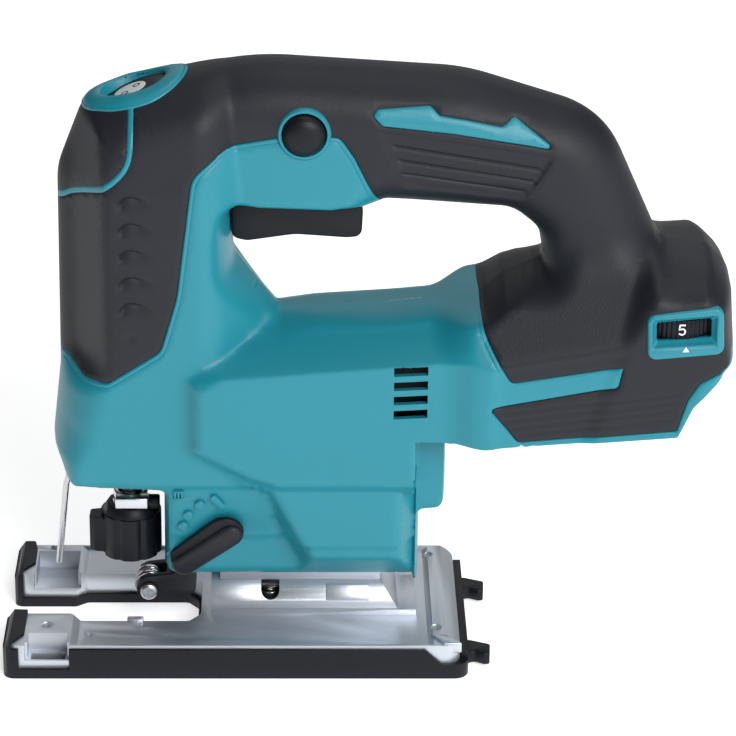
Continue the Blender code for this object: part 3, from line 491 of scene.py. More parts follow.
def half_width(points):
    """Half width of the body before its edges are rounded, as planes that meet in small fillets."""
    x, z = points[:, 0], points[:, 1]
    slant = 14 + WALL_LEAN * (z - 30)
    nose = soft_min(27.0 - 0.1 * np.maximum(z - 172, 0), slant - 0.9 * smooth_step((67.2 - z) / 1.2), 1.5)
    facet = 25.5 + 1.25 * (x + 43.4)
    high = smooth_step((z - 100) / 14)
    nose = nose * (1 - high) + soft_min(nose, facet, 1.0) * high
    high = smooth_step((z - 98) / 12)
    nose = nose - 1.5 * np.maximum(x - 12, 0) * (1 - high)
    nose = nose - 0.87 * soft_max(x + 8, np.zeros_like(x), 5) * high
    handle = 18.3 - 2.0 * np.maximum(-12 - x, 0)
    crease_low = 109 + 0.08 * (x + 11)
    crease_mid = 116.9 + 0.085 * x
    crease_top = 123.0 + 0.095 * x
    depth = depth_inside(points, loop_of(BULGE))
    side = 27 + soft_min(soft_max(depth, np.zeros_like(x), 0.8), np.full_like(x, 4.5), 0.8)
    shoulder = 18 + (crease_mid - z) * 13.5 / (crease_mid - crease_low)
    crown = 8 + (crease_top - z) * 10 / (crease_top - crease_mid)
    motor = soft_min(side, np.where(z < crease_mid, shoulder, crown), 1.0)
    motor = np.where(depth > -1.5, motor, 0)
    panel_depth = depth_inside(points, loop_of(LOWER_PANEL))
    panel = 18 + 1.6 * soft_min(soft_max(panel_depth, np.zeros_like(x), 0.8), np.full_like(x, 5.6), 0.8)
    lower = soft_min(panel, z - 13.0, 0.8)
    lower = lower - 1.2 * smooth_step((44.8 - z) / 0.8)
    lower = np.where(z > 70, 0, lower)
    behind = smooth_step((x - 60.4) / 0.8) * smooth_step((86.5 - z) / 2)
    motor = motor * (1 - behind) + 19.0 * behind
    lower = lower * (1 - behind) + 17.0 * behind
    brow = 116 + 0.175 * (x - 88.4)
    rear = soft_min(np.full_like(x, 36.0), 36.2 - 0.66 * (z - brow), 1.5)
    rear = rear - 1.0 * smooth_step((brow - z) / 3) * smooth_step((x - 84) / 6)
    dial_pad = soft_min(np.full_like(x, 36.2), 36.2 - 0.7 * (z - 142), 1.5)
    pad = smooth_step((x - (124.5 + 0.35 * (z - 118))) / 7)
    rear = rear * (1 - pad) + dial_pad * pad
    rear = soft_min(rear, 31.5 + 0.35 * (x - 70), 1.5)
    flare = smooth_step((x - 65) / 15) * smooth_step((z - 84) / 2)
    column = np.where(x < 20, nose, 0)
    upper = np.where((z > 140) | (x > 75), handle * smooth_step((z - 125) / 10), 0)
    front = soft_max(soft_max(column, motor, 1.2), soft_max(lower, np.minimum(slant, 12), 0.5), 0.8)
    whole = front * (1 - flare) + soft_max(rear, np.full_like(x, 5), 2) * flare
    return soft_max(whole, upper, 0.6 + 5 * smooth_step((x - 80) / 12))


def rounded_over(points, level, loops):
    """The level brought down to y = 0 over the edge roundings."""
    for loop, radii in loops:
        reach = distances(points, loop)
        depth = np.clip((radii - reach) / radii, 0, 1)
        level = level * np.sqrt(np.maximum(1 - depth ** 2, 0)).min(1)
    return level


def near(points, line_points):
    """Distance from each point to the nearest of many points on a line."""
    out = np.empty(len(points))
    for start in range(0, len(points), 2000):
        gap = points[start:start + 2000, None, :] - line_points[None]
        out[start:start + 2000] = np.sqrt((gap ** 2).sum(2).min(1))
    return out


def beside(points, line):
    """Signed distance from an open line, positive on its right, and how far along it (0 to 1)."""
    line = np.array(line, float)
    a, d = line[:-1], line[1:] - line[:-1]
    rel = points[:, None, :] - a[None]
    along = np.clip((rel * d).sum(2) / (d * d).sum(1), 0, 1)
    gap = np.linalg.norm(rel - along[..., None] * d, axis=2)
    best = gap.argmin(1)
    rows = np.arange(len(points))
    cross = d[best, 0] * rel[rows, best, 1] - d[best, 1] * rel[rows, best, 0]
    return gap[rows, best] * -np.sign(cross), (best + along[rows, best]) / len(a)


def groove(gap, width, depth):
    return depth * np.clip(1 - gap / width, 0, 1)


class Relief:
    """The lines that the shell's mesh follows, and the height that each adds."""

    def __init__(self, side):
        self.side = side
        grip, lower = loop_of(GRIP_AREA, 0.6), loop_of(LOWER_BLACK, 0.6)
        grip = grip[(grip[:, 0] > -66) & (grip[:, 0] < 171) & (grip[:, 1] < 215)]
        self.edge = np.vstack([grip[depth_inside(grip, lower) < 0.05],
                               lower[depth_inside(lower, loop_of(GRIP_AREA)) < 0.05]])
        self.inlay = loop_of(INLAY, 0.6)
        self.grooved = loop_of(GROOVED, 0.8)
        self.notches = [spaced([(x, z + height) for x, z in NOTCH], 1.0, closed=False)
                        for height in NOTCH_HEIGHTS]
        self.cap = eased(spaced(CAP_LINE, 0.8, closed=False), 4)
        self.grooves = [spaced(g, 1.0, closed=False) for g in GROOVES]

    def guides(self):
        """Points that the mesh must have, line by line."""
        lines = cutout_lines(self.side)
        lines += [self.edge, self.inlay, self.grooved, loop_of(BULGE, 1.2), loop_of(LOWER_PANEL, 1.2)]
        for line, offsets in ((loop_of(GRIP_AREA, 0.9), (-1.8, -1.45, -1.1, -0.5, 0.5)),
                              (loop_of(LOWER_BLACK, 0.9), (-0.5, 0.5)),
                              (self.inlay, (-0.5, 0.5)), (self.grooved, (-0.6, 0.6)),
                              (loop_of(BULGE, 1.2), (4.5,)), (loop_of(LOWER_PANEL, 1.2), (5.6,))):
            turn = 1 if np.cross(line, np.roll(line, -1, axis=0)).sum() > 0 else -1
            for offset in offsets:
                shifted = moved_line(line, offset * turn)
                lines.append(shifted[near(shifted, line) > abs(offset) - 0.12])
        across = np.arange(-16, 100, 1.2)
        for level, slope in ((109.9, 0.08), (116.9, 0.085)):
            for offset in (-1.0, -0.5, 0, 0.5, 1.0):
                lines.append(np.column_stack([across, level + slope * across + offset]))
        short = np.arange(60, 72, 0.8)
        lines += [np.column_stack([short, np.full_like(short, level)])
                  for level in (83.9, 84.5, 85.2, 86.0, 86.8)]
        upright = np.arange(27, 87, 1.2)
        lines += [np.column_stack([np.full_like(upright, x), upright])
                  for x in (60.1, 60.5, 60.8, 61.1, 61.5)]
        for line in self.notches:
            lines += [line, moved_line(line, 0.45, False), moved_line(line, -0.45, False),
                      moved_line(line, -1.6, False)]
        for line in LOWER_RIBS:
            line = spaced(line, 1.2, closed=False)
            lines += [line, moved_line(line, 0.5, False), moved_line(line, -0.5, False)]
        for line in self.grooves + [self.cap]:
            lines += [line] + [moved_line(line, offset, False) for offset in (-0.9, -0.45, 0.45, 0.9)]
        return lines

    def black(self, points):
        black = inside(points, loop_of(GRIP_AREA)) | inside(points, loop_of(LOWER_BLACK))
        return black & ~inside(points, self.inlay)

    def detail(self, points):
        """What the lines add to the half width."""
        out = -groove(near(points, self.edge), 0.5, 0.45)
        depth = depth_inside(points, loop_of(GRIP_AREA))
        out -= groove(np.abs(depth + 1.45), 0.38, 0.3) * (points[:, 0] < 88)
        out -= groove(near(points, self.inlay), 0.5, 0.4)
        panel = depth_inside(points, self.grooved)
        out -= 0.7 * smooth_step((panel + 0.5) / 1.0)
        for line in self.grooves:
            gap, along = beside(points, line)
            fade = smooth_step(np.minimum(along, 1 - along) / 0.03)
            out -= groove(np.abs(gap), 0.9, 0.8) * fade
        for line in self.notches:
            gap, along = beside(points, line)
            fade = smooth_step(np.minimum(along / 0.12, (1 - along) / 0.45))
            scoop = smooth_step((gap + 0.45) / 0.9) * np.clip(1 - gap / 5.0, 0, 1) ** 2
            lip = np.clip(1 - np.abs(gap + 0.8) / 0.9, 0, 1)
            out += (0.3 * lip - 1.35 * scoop) * fade
        for line in (LOWER_RIBS if self.side == LEFT else ()):
            gap, along = beside(points, line)
            out -= groove(np.abs(gap), 0.45, 0.16) * smooth_step(np.minimum(along, 1 - along) / 0.02)
        dimple = np.hypot(points[:, 0] - DIMPLE[0], points[:, 1] - DIMPLE[1])
        out -= 0.6 * smooth_step((1.7 - dimple) / 0.8)
        gap, along = beside(points, self.cap)
        out -= groove(np.abs(np.abs(gap) - 0.85), 0.35, 0.35)
        return out


def thinned(points, kept, spacing):
    """Points at least the spacing away from the kept points and from each other, through a coarse grid."""
    cells = {}
    for point in kept:
        cells.setdefault((int(point[0] // spacing), int(point[1] // spacing)), []).append(point)
    out = []
    for point in points:
        i, j = int(point[0] // spacing), int(point[1] // spacing)
        close = False
        for di in (-1, 0, 1):
            for dj in (-1, 0, 1):
                for other in cells.get((i + di, j + dj), ()):
                    if (other[0] - point[0]) ** 2 + (other[1] - point[1]) ** 2 < spacing * spacing:
                        close = True
        if not close:
            cells.setdefault((i, j), []).append(point)
            out.append(point)
    return np.array(out).reshape(-1, 2)


def relief_mesh(relief, loops):
    """Flat triangles over the side view that follow the outline, its rounding and every line."""
    rings = [loop for loop, _ in loops]
    fixed = np.vstack(rings)
    extra = np.zeros((0, 2))
    turns = [1 if np.cross(r, np.roll(r, -1, axis=0)).sum() > 0 else -1 for r in rings]
    inner = []
    for (loop, radii), turn, sign in zip(loops, turns, (1, -1)):
        for angle in range(11, 91, 11):
            reach = radii * (1 - math.cos(math.radians(angle)))
            shifted = moved_line(loop, 1.0) - loop
            inner.append(loop + shifted * (turn * sign * reach)[:, None])
    def inward(points, spacing):
        good = inside(points, rings[0]) & ~inside(points, rings[1])
        points = points[good]
        clear = np.minimum(near(points, rings[0]), near(points, rings[1]))
        return thinned(points[clear > 0.06], np.vstack([fixed, extra]), spacing)
    for line in relief.guides():
        extra = np.vstack([extra, inward(line, 0.3)])
    for line in inner:
        extra = np.vstack([extra, inward(line, 0.22)])
    low, high = rings[0].min(0), rings[0].max(0)
    rows = np.arange(low[1], high[1], GRID * 0.87)
    grid = [(x + (k % 2) * GRID / 2, z) for k, z in enumerate(rows) for x in np.arange(low[0], high[0], GRID)]
    extra = np.vstack([extra, inward(np.array(grid), 0.75 * GRID)])
    edges, start = [], 0
    for ring in rings:
        edges += [(start + i, start + (i + 1) % len(ring)) for i in range(len(ring))]
        start += len(ring)
    points = np.vstack([fixed, extra])
    result = geometry.delaunay_2d_cdt([Vector(p) for p in points], edges, [], 0, 1e-5)
    flat = np.array([tuple(v) for v in result[0]])
    faces = np.array([f for f in result[2]])
    middle = flat[faces].mean(1)
    keep = inside(middle, rings[0]) & ~inside(middle, rings[1])
    return flat, faces[keep], len(fixed)


def openings(middle, side):
    """Triangles that lie over a hole of this side."""
    x, z = middle[:, 0], middle[:, 1]
    hole = np.zeros(len(middle), bool)
    for height in VENT_Z:
        low = height + VENT_LOW + VENT_SLOPE * (x - VENT_X[0])
        hole |= (x > VENT_X[0]) & (x < VENT_X[1]) & (z > low) & (z < low + VENT_TALL)
    if side == LEFT:
        hole |= (x - LOCK_BUTTON[0]) ** 2 + (z - LOCK_BUTTON[1]) ** 2 < LOCK_HOLE ** 2
        left, right, half = DIAL_HOLE
        hole |= (x - DIAL[0] > left) & (x - DIAL[0] < right) & (abs(z - DIAL[2]) < half)
    else:
        for sx, sz in SCREWS:
            hole |= (x - sx) ** 2 + (z - sz) ** 2 < SCREW_HOLE ** 2
    return hole


def cutout_lines(side):
    """Outlines of the holes, so the mesh has points on them."""
    lines = []
    for height in VENT_Z:
        low, high = height + VENT_LOW, height + VENT_LOW + VENT_TALL
        lines.append(spaced([(VENT_X[0], low), (VENT_X[1], low + 0.6), (VENT_X[1], high + 0.6),
                             (VENT_X[0], high)],
                            0.8))
    circles = [(LOCK_BUTTON, LOCK_HOLE)] if side == LEFT else [(centre, SCREW_HOLE) for centre in SCREWS]
    for centre, radius in circles:
        count = round(2 * math.pi * radius / 0.8)
        lines.append(np.array([polar(radius, 2 * math.pi * k / count, centre) for k in range(count)]))
    if side == LEFT:
        left, right, half = DIAL_HOLE
        corners = ((left, -half), (right, -half), (right, half), (left, half))
        lines.append(spaced([(DIAL[0] + u, DIAL[2] + v) for u, v in corners], 1.0))
    return lines


def shell_piece(name, flat, level, faces, side, finish_name, wall):
    """One colour of one half, with walls in y along its open edges."""
    used, compact = np.unique(faces, return_inverse=True)
    faces = compact.reshape(-1, 3)
    verts = [(flat[i, 0], -side * level[i], flat[i, 1]) for i in used]
    depth = [level[i] for i in used]
    edges = {}
    for a, b, c in faces:
        for edge in ((a, b), (b, c), (c, a)):
            edges[edge] = edges.get(edge, 0) + 1
    rim = [edge for edge in edges if (edge[1], edge[0]) not in edges]
    polygons = [tuple(f) if side == RIGHT else tuple(f[::-1]) for f in faces]
    lowered = {}
    for a, b in rim:
        if depth[a] < 1.5 and depth[b] < 1.5:
            continue
        for i in (a, b):
            if i not in lowered:
                lowered[i] = len(verts)
                x, y, z = verts[i]
                verts.append((x, y + side * min(wall, max(depth[i] - 0.1, 0.05)), z))
        polygon = (b, a, lowered[a], lowered[b])
        polygons.append(polygon if side == RIGHT else polygon[::-1])
    return add_mesh(name, verts, polygons, finish_name, "housing", 62)


def kept_clear(points):
    """Half width of the openings on the underside: blade rod, roller arm and battery seat."""
    x, z = points[:, 0], points[:, 1]
    nose = np.sqrt(np.maximum(15.6 ** 2 - (x - ROD_X) ** 2, 0)) * (z < 72)
    arm = 7.0 * ((x > -22.6) & (x < -11.5) & (z < 36))
    battery = 31.1 * ((x > 86.5) & (z < 99.8))
    return np.maximum(np.maximum(nose, arm), battery)


def in_top_key(x, y, z):
    """Points inside the oval seat of the top key."""
    local = BUTTON_FRAME.inverted() @ Vector((x, y, z))
    return (local.x / 14.5) ** 2 + (local.y / 11.5) ** 2 < 1 and local.z > -12


def shell_half(side, word):
    relief = Relief(side)
    loops = body_loops()
    flat, faces, edge_count = relief_mesh(relief, loops)
    level = rounded_over(flat, half_width(flat), loops)
    margin = np.clip(level / 3.0, 0, 1)
    level = np.maximum(level + relief.detail(flat) * margin, PARTING)
    level[:edge_count] = PARTING
    level = np.maximum(level, kept_clear(flat))
    middle = flat[faces].mean(1)
    height = level[faces].mean(1)
    hole = openings(middle, side)
    hole |= np.array([in_top_key(m[0], h, m[1]) if -60 < m[0] < -10 and m[1] > 180 else False
                      for m, h in zip(middle, height)])
    faces, middle = faces[~hole], middle[~hole]
    black = relief.black(middle)
    gap, along = beside(middle, relief.cap)
    trim = (np.abs(gap) < 0.85) & black
    shell = shell_piece(f"shell_{word}", flat, level, faces[~black | trim], side, "teal_shell", 2.2)
    grip = shell_piece(f"soft_grip_{word}", flat, level, faces[black & ~trim], side, "black_grip", 1.3)
    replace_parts(shell, f"housing_{word}")
    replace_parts(grip, f"grip_{word}")
    return shell, grip


BUTTON_FRAME = Matrix.Translation((-33.5, 0, 201.0)) @ Matrix.Rotation(math.radians(-22), 4, "Y")


# ---------------------------------------------------------------- controls

KEY_CENTRE = 0.9
KEY_RING = (18.5, 16.0)
KEY_HOLE = (11.2, 9.3)


def on_shell(across, along, loops):
    """Points of the slanted top frame dropped along its normal onto the shell."""
    local = np.column_stack([across, along, np.full(len(across), -24.0)])
    low, high = np.full(len(across), -24.0), np.full(len(across), 9.0)
    frame_rows = np.array([list(row) for row in BUTTON_FRAME])
    for _ in range(18):
        local[:, 2] = (low + high) / 2
        world = local @ frame_rows[:3, :3].T + frame_rows[:3, 3]
        flat = world[:, (0, 2)]
        level = rounded_over(flat, half_width(flat), loops[:1])
        within = inside(flat, loops[0][0]) & (level > np.abs(world[:, 1]))
        low = np.where(within, local[:, 2], low)
        high = np.where(within, high, local[:, 2])
    return (low + high) / 2


def top_key():
    """Oval ring draped over the column's top, with the power key and its round mark inside."""
    loops = body_loops(3.0)
    count = 96
    turn = 2 * np.pi * np.arange(count) / count
    rings = [(1.0, -1.2), (1.0, 0.15), (0.985, 0.45), (0.93, 0.6), (0.915, 0.35), (0.895, 0.35), (0.88, 0.65),
             (0.7, 0.9), (0.5, 0.9), (0.25, 0.8), (0.1, 0.6), (0.03, 0.2), (0.0, -0.4),
             (-0.06, -3.0)]
    verts = []
    for share, rise in rings:
        across = KEY_CENTRE + (KEY_HOLE[0] + share * (KEY_RING[0] - KEY_HOLE[0])) * np.cos(turn)
        along = (KEY_HOLE[1] + share * (KEY_RING[1] - KEY_HOLE[1])) * np.sin(turn)
        height = on_shell(across, along, loops)
        verts += [tuple(BUTTON_FRAME @ Vector(v)) for v in zip(across, along, height + rise)]
    ring = add_mesh("key_ring", verts, bands(count, len(rings)), "teal_shell", "housing", 50)
    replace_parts(outward(ring), "button_bezel")

    def oval(name, long_half, short_half, profile, finish_name, shift=(0.0, 0.0)):
        points = []
        for share, height in profile:
            points += [tuple(BUTTON_FRAME @ Vector((KEY_CENTRE + shift[0] + share * long_half * math.cos(a),
                                                    shift[1] + share * short_half * math.sin(a), height)))
                       for a in turn]
        sides = bands(count, len(profile)) + [tuple(range(len(points) - count, len(points)))]
        return outward(add_mesh(name, points, sides, finish_name, "power_button", 40))

    key = oval("power_key", 10.7, 8.8, [(1, -5), (1, -0.9), (0.97, -0.5), (0.9, -0.3), (0.5, -0.25)],
               "black_moulding")
    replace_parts(key, "power_button")
    oval("power_key_mark", 5.6, 5.6, [(1, -0.4), (1, -0.16), (0.97, -0.1), (0.5, -0.1)], "white_print",
         (-1.9, -0.4))
    for number, (spot, size) in enumerate([((1.3, 1.2), 1.3), ((-2.7, -2.4), 1.3)], 1):
        profile = [(size, -0.1), (size, 0.0), (size - 0.4, 0.0), (size - 0.4, -0.1)]
        mark = lathe(f"power_key_sign_{number}", profile, "Z", (spot[0], spot[1], 0), "black_moulding",
                     "power_button", 24)
        for vertex in mark.data.vertices:
            vertex.co = BUTTON_FRAME @ (vertex.co / MM) * MM


def lock_button():
    x, z = LOCK_BUTTON
    profile = [(0, -22.6), (3.0, -22.4), (5.4, -21.6), (6.6, -20.4), (7.0, -19.0), (7.05, -13.5), (0, -13.5)]
    button = lathe("lock_button_dome", profile, "Y", (x, 0, z), "black_moulding", "lock_button", 48)
    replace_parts(button, "lock_button")
    collar = [(7.35, -16), (7.35, -18.9), (7.6, -19.3), (8.3, -19.3), (8.7, -18.9), (8.9, -17.6), (8.9, -16)]
    lathe("lock_collar", collar, "Y", (x, 0, z), "teal_shell", "housing", 48)


def trigger():
    outline = rounded([(-1.2, 170, 1), (-1.2, 151.4, 3), (4, 150.2, 5), (20, 152.6, 20), (37, 151.4, 8),
                       (42.2, 151.8, 3), (42.6, 161, 2), (41, 167, 1), (9, 167, 1), (9, 170, 1)], 1.0)
    paddle = prism("trigger_paddle", outline, "Y", -9.2, 9.2, "black_moulding", "trigger", edge=1.6)
    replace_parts(paddle, "trigger")


DIGIT_FIVE = [[(1.25, 2.0), (-0.95, 2.0), (-1.15, 0.1), (-0.4, 0.45), (0.5, 0.35), (1.05, -0.2), (1.15, -0.9),
               (0.8, -1.6), (0.1, -2.0), (-0.7, -1.9), (-1.2, -1.4)]]


def stroke(name, line, width, level, depth, finish_name, body):
    """Line in XZ drawn with a round pen and lifted along Y."""
    line = spaced([p for p in line], 0.25, closed=False)
    normal = moved_line(line, 1.0, False) - line
    offset = normal * width / 2
    outline = [tuple(p) for p in line + offset] + [tuple(p) for p in (line - offset)[::-1]]
    return prism(name, outline, "Y", level, level + depth, finish_name, body)


def dial():
    """Ribbed thumb wheel with its figure, in a raised frame with a bevelled window."""
    x, y, z = DIAL
    outline = []
    ribs = 54
    for k in range(ribs):
        for share, radius in ((0.0, 14.15), (0.22, 14.5), (0.6, 14.5), (0.82, 14.15)):
            outline.append(polar(radius, 2 * math.pi * (k + share) / ribs, (x, y)))
    wheel = prism("dial_wheel", outline, "Z", z - 3.3, z + 3.3, "black_moulding", "speed_dial", edge=0.12)
    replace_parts(wheel, "speed_dial")
    for line in DIGIT_FIVE:
        moved = [(x - 0.5 + 0.85 * u, z + 0.1 + 0.85 * v) for u, v in line]
        stroke("dial_figure", moved, 0.55, y - 14.62, 0.2, "white_print", "speed_dial")
    outer = rounded([(135.7, 135.4, 3), (160.6, 138.6, 3), (161.6, 121.8, 3), (136.4, 119.4, 3)], 0.8)
    rim = prism("dial_surround", outer, "Y", -37.3, -33.0, "teal_shell", "housing", edge=0.9)
    slope = []
    for reach, level in ((1.6, -38.0), (1.6, -37.2), (0.3, -35.6), (0.0, -35.2), (0.0, -30.0)):
        corners = [(139.0 - reach, 132.4 + reach, 0.8), (157.0 + reach, 134.2 + reach, 0.8),
                   (157.2 + reach, 127.3 - reach, 0.8), (139.2 - reach, 125.8 - reach, 0.8)]
        slope.append([(u, level, v) for u, v in rounded(corners, 0.8)])
    count = len(slope[0])
    faces = [tuple(range(count)), tuple(range(5 * count - 1, 4 * count - 1, -1))] + bands(count, 5)
    window = outward(add_mesh("window_tool", [v for ring in slope for v in ring], faces, "teal_shell",
                              "housing"))
    cut(rim, window)
    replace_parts(rim, "dial_frame")
    prism("dial_pointer", [(147.6, 122.8), (149.9, 122.9), (148.8, 124.7)], "Y", -37.55, -37.0, "white_print",
          "housing")


def lever():
    """Orbital lever: a flat plate with a raised rounded bar, on the leaning lower wall. The plate is a darker
    black than the bar and is shifted up and forward past it, as painted shade along the lever's upper side.
    """
    x, z = LEVER_PIVOT
    seat = (Matrix.Translation(Vector((x, -(14 + WALL_LEAN * (z - 30)), z)) * MM)
            @ Matrix.Rotation(math.atan(WALL_LEAN), 4, "X"))
    point = math.radians(221.5)

    def capsule(length, first_radius, last_radius, start=0.0):
        outline = []
        for centre, radius, first in ((start, first_radius, point + math.pi / 2),
                                      (length, last_radius, point - math.pi / 2)):
            outline += [polar(radius, first + math.pi * k / 14, polar(centre, point)) for k in range(15)]
        return outline

    # The plate's outline is shifted up and forward, so its dark margin above the bar is painted shade.
    raised = [(u - 0.9, v + 1.5) for u, v in capsule(18.5, 6.4, 5.2)]
    plate = prism("lever_shade_plate", raised, "Y", -2.6, -0.62, "black_moulding", "orbital_lever", edge=0.5)
    bar = prism("lever_bar", capsule(20.4, 4.2, 4.0, -1.5), "Y", -4.8, -1.0, "black_grip", "orbital_lever",
                edge=1.8)
    for piece in (plate, bar):
        piece.data.transform(seat)
    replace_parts(plate, "orbital_lever")
    return seat


def lever_marks(seat):
    """Raised marks round the lever for its four positions."""
    x, z = LEVER_PIVOT
    lean = math.cos(math.atan(WALL_LEAN))
    for number, (u, v, radius) in enumerate(((-22.4, 36.6, 1.7), (-18.2, 49.3, 1.8), (-16.3, 54.2, 1.8),
                                             (-12.3, 58.9, 1.8)), 1):
        profile = [(0, -0.55), (radius - 0.35, -0.55), (radius, -0.2), (radius, 0.8), (0, 0.8)]
        dot = lathe(f"lever_mark_{number}", profile, "Y", (u - x, 0, (v - z) / lean), "teal_shell", "housing",
                    28)
        dot.data.transform(seat)
    first, last = Vector((-7.6 - x, (62.2 - z) / lean)), Vector((-4.9 - x, (58.6 - z) / lean))
    along = (last - first).normalized()
    across = Vector((-along.y, along.x)) * 1.15
    corners = [(*(first + across - along), 1.1), (*(last + across + along), 1.1),
               (*(last - across + along), 1.1), (*(first - across - along), 1.1)]
    slot = prism("lever_mark_slot", rounded(corners, 0.5), "Y", -0.55, 0.8, "teal_shell", "housing",
                 edge=0.25)
    slot.data.transform(seat)
    for number, (low_u, high_u, low_v, high_v) in enumerate((
            (-21.2, -17.6, 64.6, 65.1), (-21.2, -17.6, 61.5, 62.0), (-20.9, -20.2, 61.8, 64.8),
            (-19.75, -19.05, 61.8, 64.8), (-18.6, -17.9, 61.8, 64.8)), 1):
        bar = box(f"lever_numeral_{number}", (low_u - x, high_u - x), (-0.35, 0.8),
                  ((low_v - z) / lean, (high_v - z) / lean), "teal_shell", "housing", 0.08)
        bar.data.transform(seat)


# ---------------------------------------------------------------- base

def rail_outline(inset=0.0, rear=0.0):
    """Sole plate with rounded corners and the opening round the blade."""
    length, half = 80.0 - inset, 38.5 - inset
    toe, slot, end = 13.0 + inset, 16.0 + inset, -14.0 + inset
    return rounded([(-length, -half, 4), (length - rear, -half, 5), (length - rear, half, 5),
                    (-length, half, 4),
                    (-length, toe, 3), (-58, toe, 2), (-54, slot, 2), (end - 4, slot, 2), (end, slot - 5, 3),
                    (end, -slot + 5, 3), (end - 4, -slot, 2), (-54, -slot, 2), (-58, -toe, 2),
                    (-length, -toe, 3)], 1.0)


def block(name, x, y, z, edge=0.0, finish_name="cast_aluminium"):
    return box(name, x, y, z, finish_name, "base", edge)


def blocks(*rows):
    """Box-shaped cutting tools from rows of x, y and z ranges."""
    return [block("tool", *row) for row in rows]


def tool(outline, axis, low, high):
    """Cutting tool with the outline, extruded along the axis."""
    return prism("tool", outline, axis, low, high, "cast_aluminium", "base")


def hump_profile(radius, low, count=28):
    arc = [polar(radius, math.pi * k / count, (0, TILT_Z)) for k in range(count + 1)]
    return [(radius, low)] + arc + [(-radius, low)]


def base():
    """Die-cast base with pockets at the toes, a shallow floor inside its lips, and the bevel hump."""
    plate = prism("base_casting", rail_outline(1.3, 1.6), "Z", 3.2, 12.2, "cast_aluminium", "base")
    floor = [(-57.6, 12.6), (-54.6, 10.9), (66.0, 10.9), (68.5, 12.6)]
    cut(plate,
        tool(floor, "Y", -36.3, 36.3),
        tool([(72.5, 12.3), (82, 8.2), (82, 14), (72.5, 14)], "Y", -40, 40),
        *blocks(((-71.6, -57.8), (-36.2, -28.2), (5.6, 20)),
                ((-70.6, -58.8), (-35.4, -30.4), (0, 20)),
                ((-72.4, -57.0), (-40, -35.0), (6.4, 20)),
                ((-72.3, -57.4), (15.6, 32.6), (5.4, 20)),
                ((-73.0, -56.4), (12, 17.0), (6.2, 20))),
        lathe("tool", [(0, 6.0), (5.2, 6.0), (5.2, 17.0), (0, 17.0)], "X", (0, 0, TILT_Z), "cast_aluminium",
              "base", 40))
    for x, y in ((-65.7, -22.4), (-50.9, -26.9), (-66.4, 35.2), (67.8, 30.4), (69.1, -23.9)):
        cut(plate, lathe("tool", [(0, 5), (1.75, 5), (1.75, 11.4), (2.2, 12.6), (0, 12.6)], "Z", (x, y, 0),
                         "cast_aluminium", "base", 20))
    bevelled(plate, 0.45, 2, 28)
    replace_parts(plate, "base")

    hump = prism("bevel_hump", hump_profile(12.0, 9.5), "X", -9, 56, "cast_aluminium", "base")
    flange = block("hump_flange", (-9, 62.5), (-12.9, 12.9), (10.2, 13.1))
    join(hump, flange)
    cut(hump,
        tool(hump_profile(9.2, 0), "X", -5, 50),
        tool([(56, 13.1), (45.2, 30), (70, 30), (70, 13.1)], "Y", -20, 20))
    slot = [(0.0, 13.2)] + [polar(16, math.radians(a), (0, TILT_Z)) for a in range(34, 147, 8)]
    cut(hump, tool(slot, "X", 8.3, 14.7))
    for lean in (-56, 56):
        end = lathe("tool", [(0, 5), (3.2, 5), (3.2, 20), (0, 20)], "Z", (11.5, 0, 0), "cast_aluminium",
                    "base", 24)
        pivot = Matrix.Translation((0, 0, TILT_Z * MM))
        end.data.transform(pivot @ Matrix.Rotation(math.radians(lean), 4, "X"))
        cut(hump, end)
    bevelled(hump, 0.35, 2, 28)
    arc = [math.radians(180 - a) for a in range(18, 47, 4)]
    label = [polar(12.3, a, (0, TILT_Z)) for a in arc] + [polar(11.4, a, (0, TILT_Z)) for a in reversed(arc)]
    prism("hump_label", label, "X", 31, 46, "cast_aluminium", "base", edge=0.2)
    block("rail_tab", (-38.2, -32.6), (-17.6, -14.9), (9, 11.6), 0.4)
    rhomb = [(67.0, -30.2), (72.4, -30.2), (77.6, -36.6), (71.4, -36.6)]
    prism("corner_rib", rhomb, "Z", 9.0, 13.0, "cast_aluminium", "base", edge=0.45)


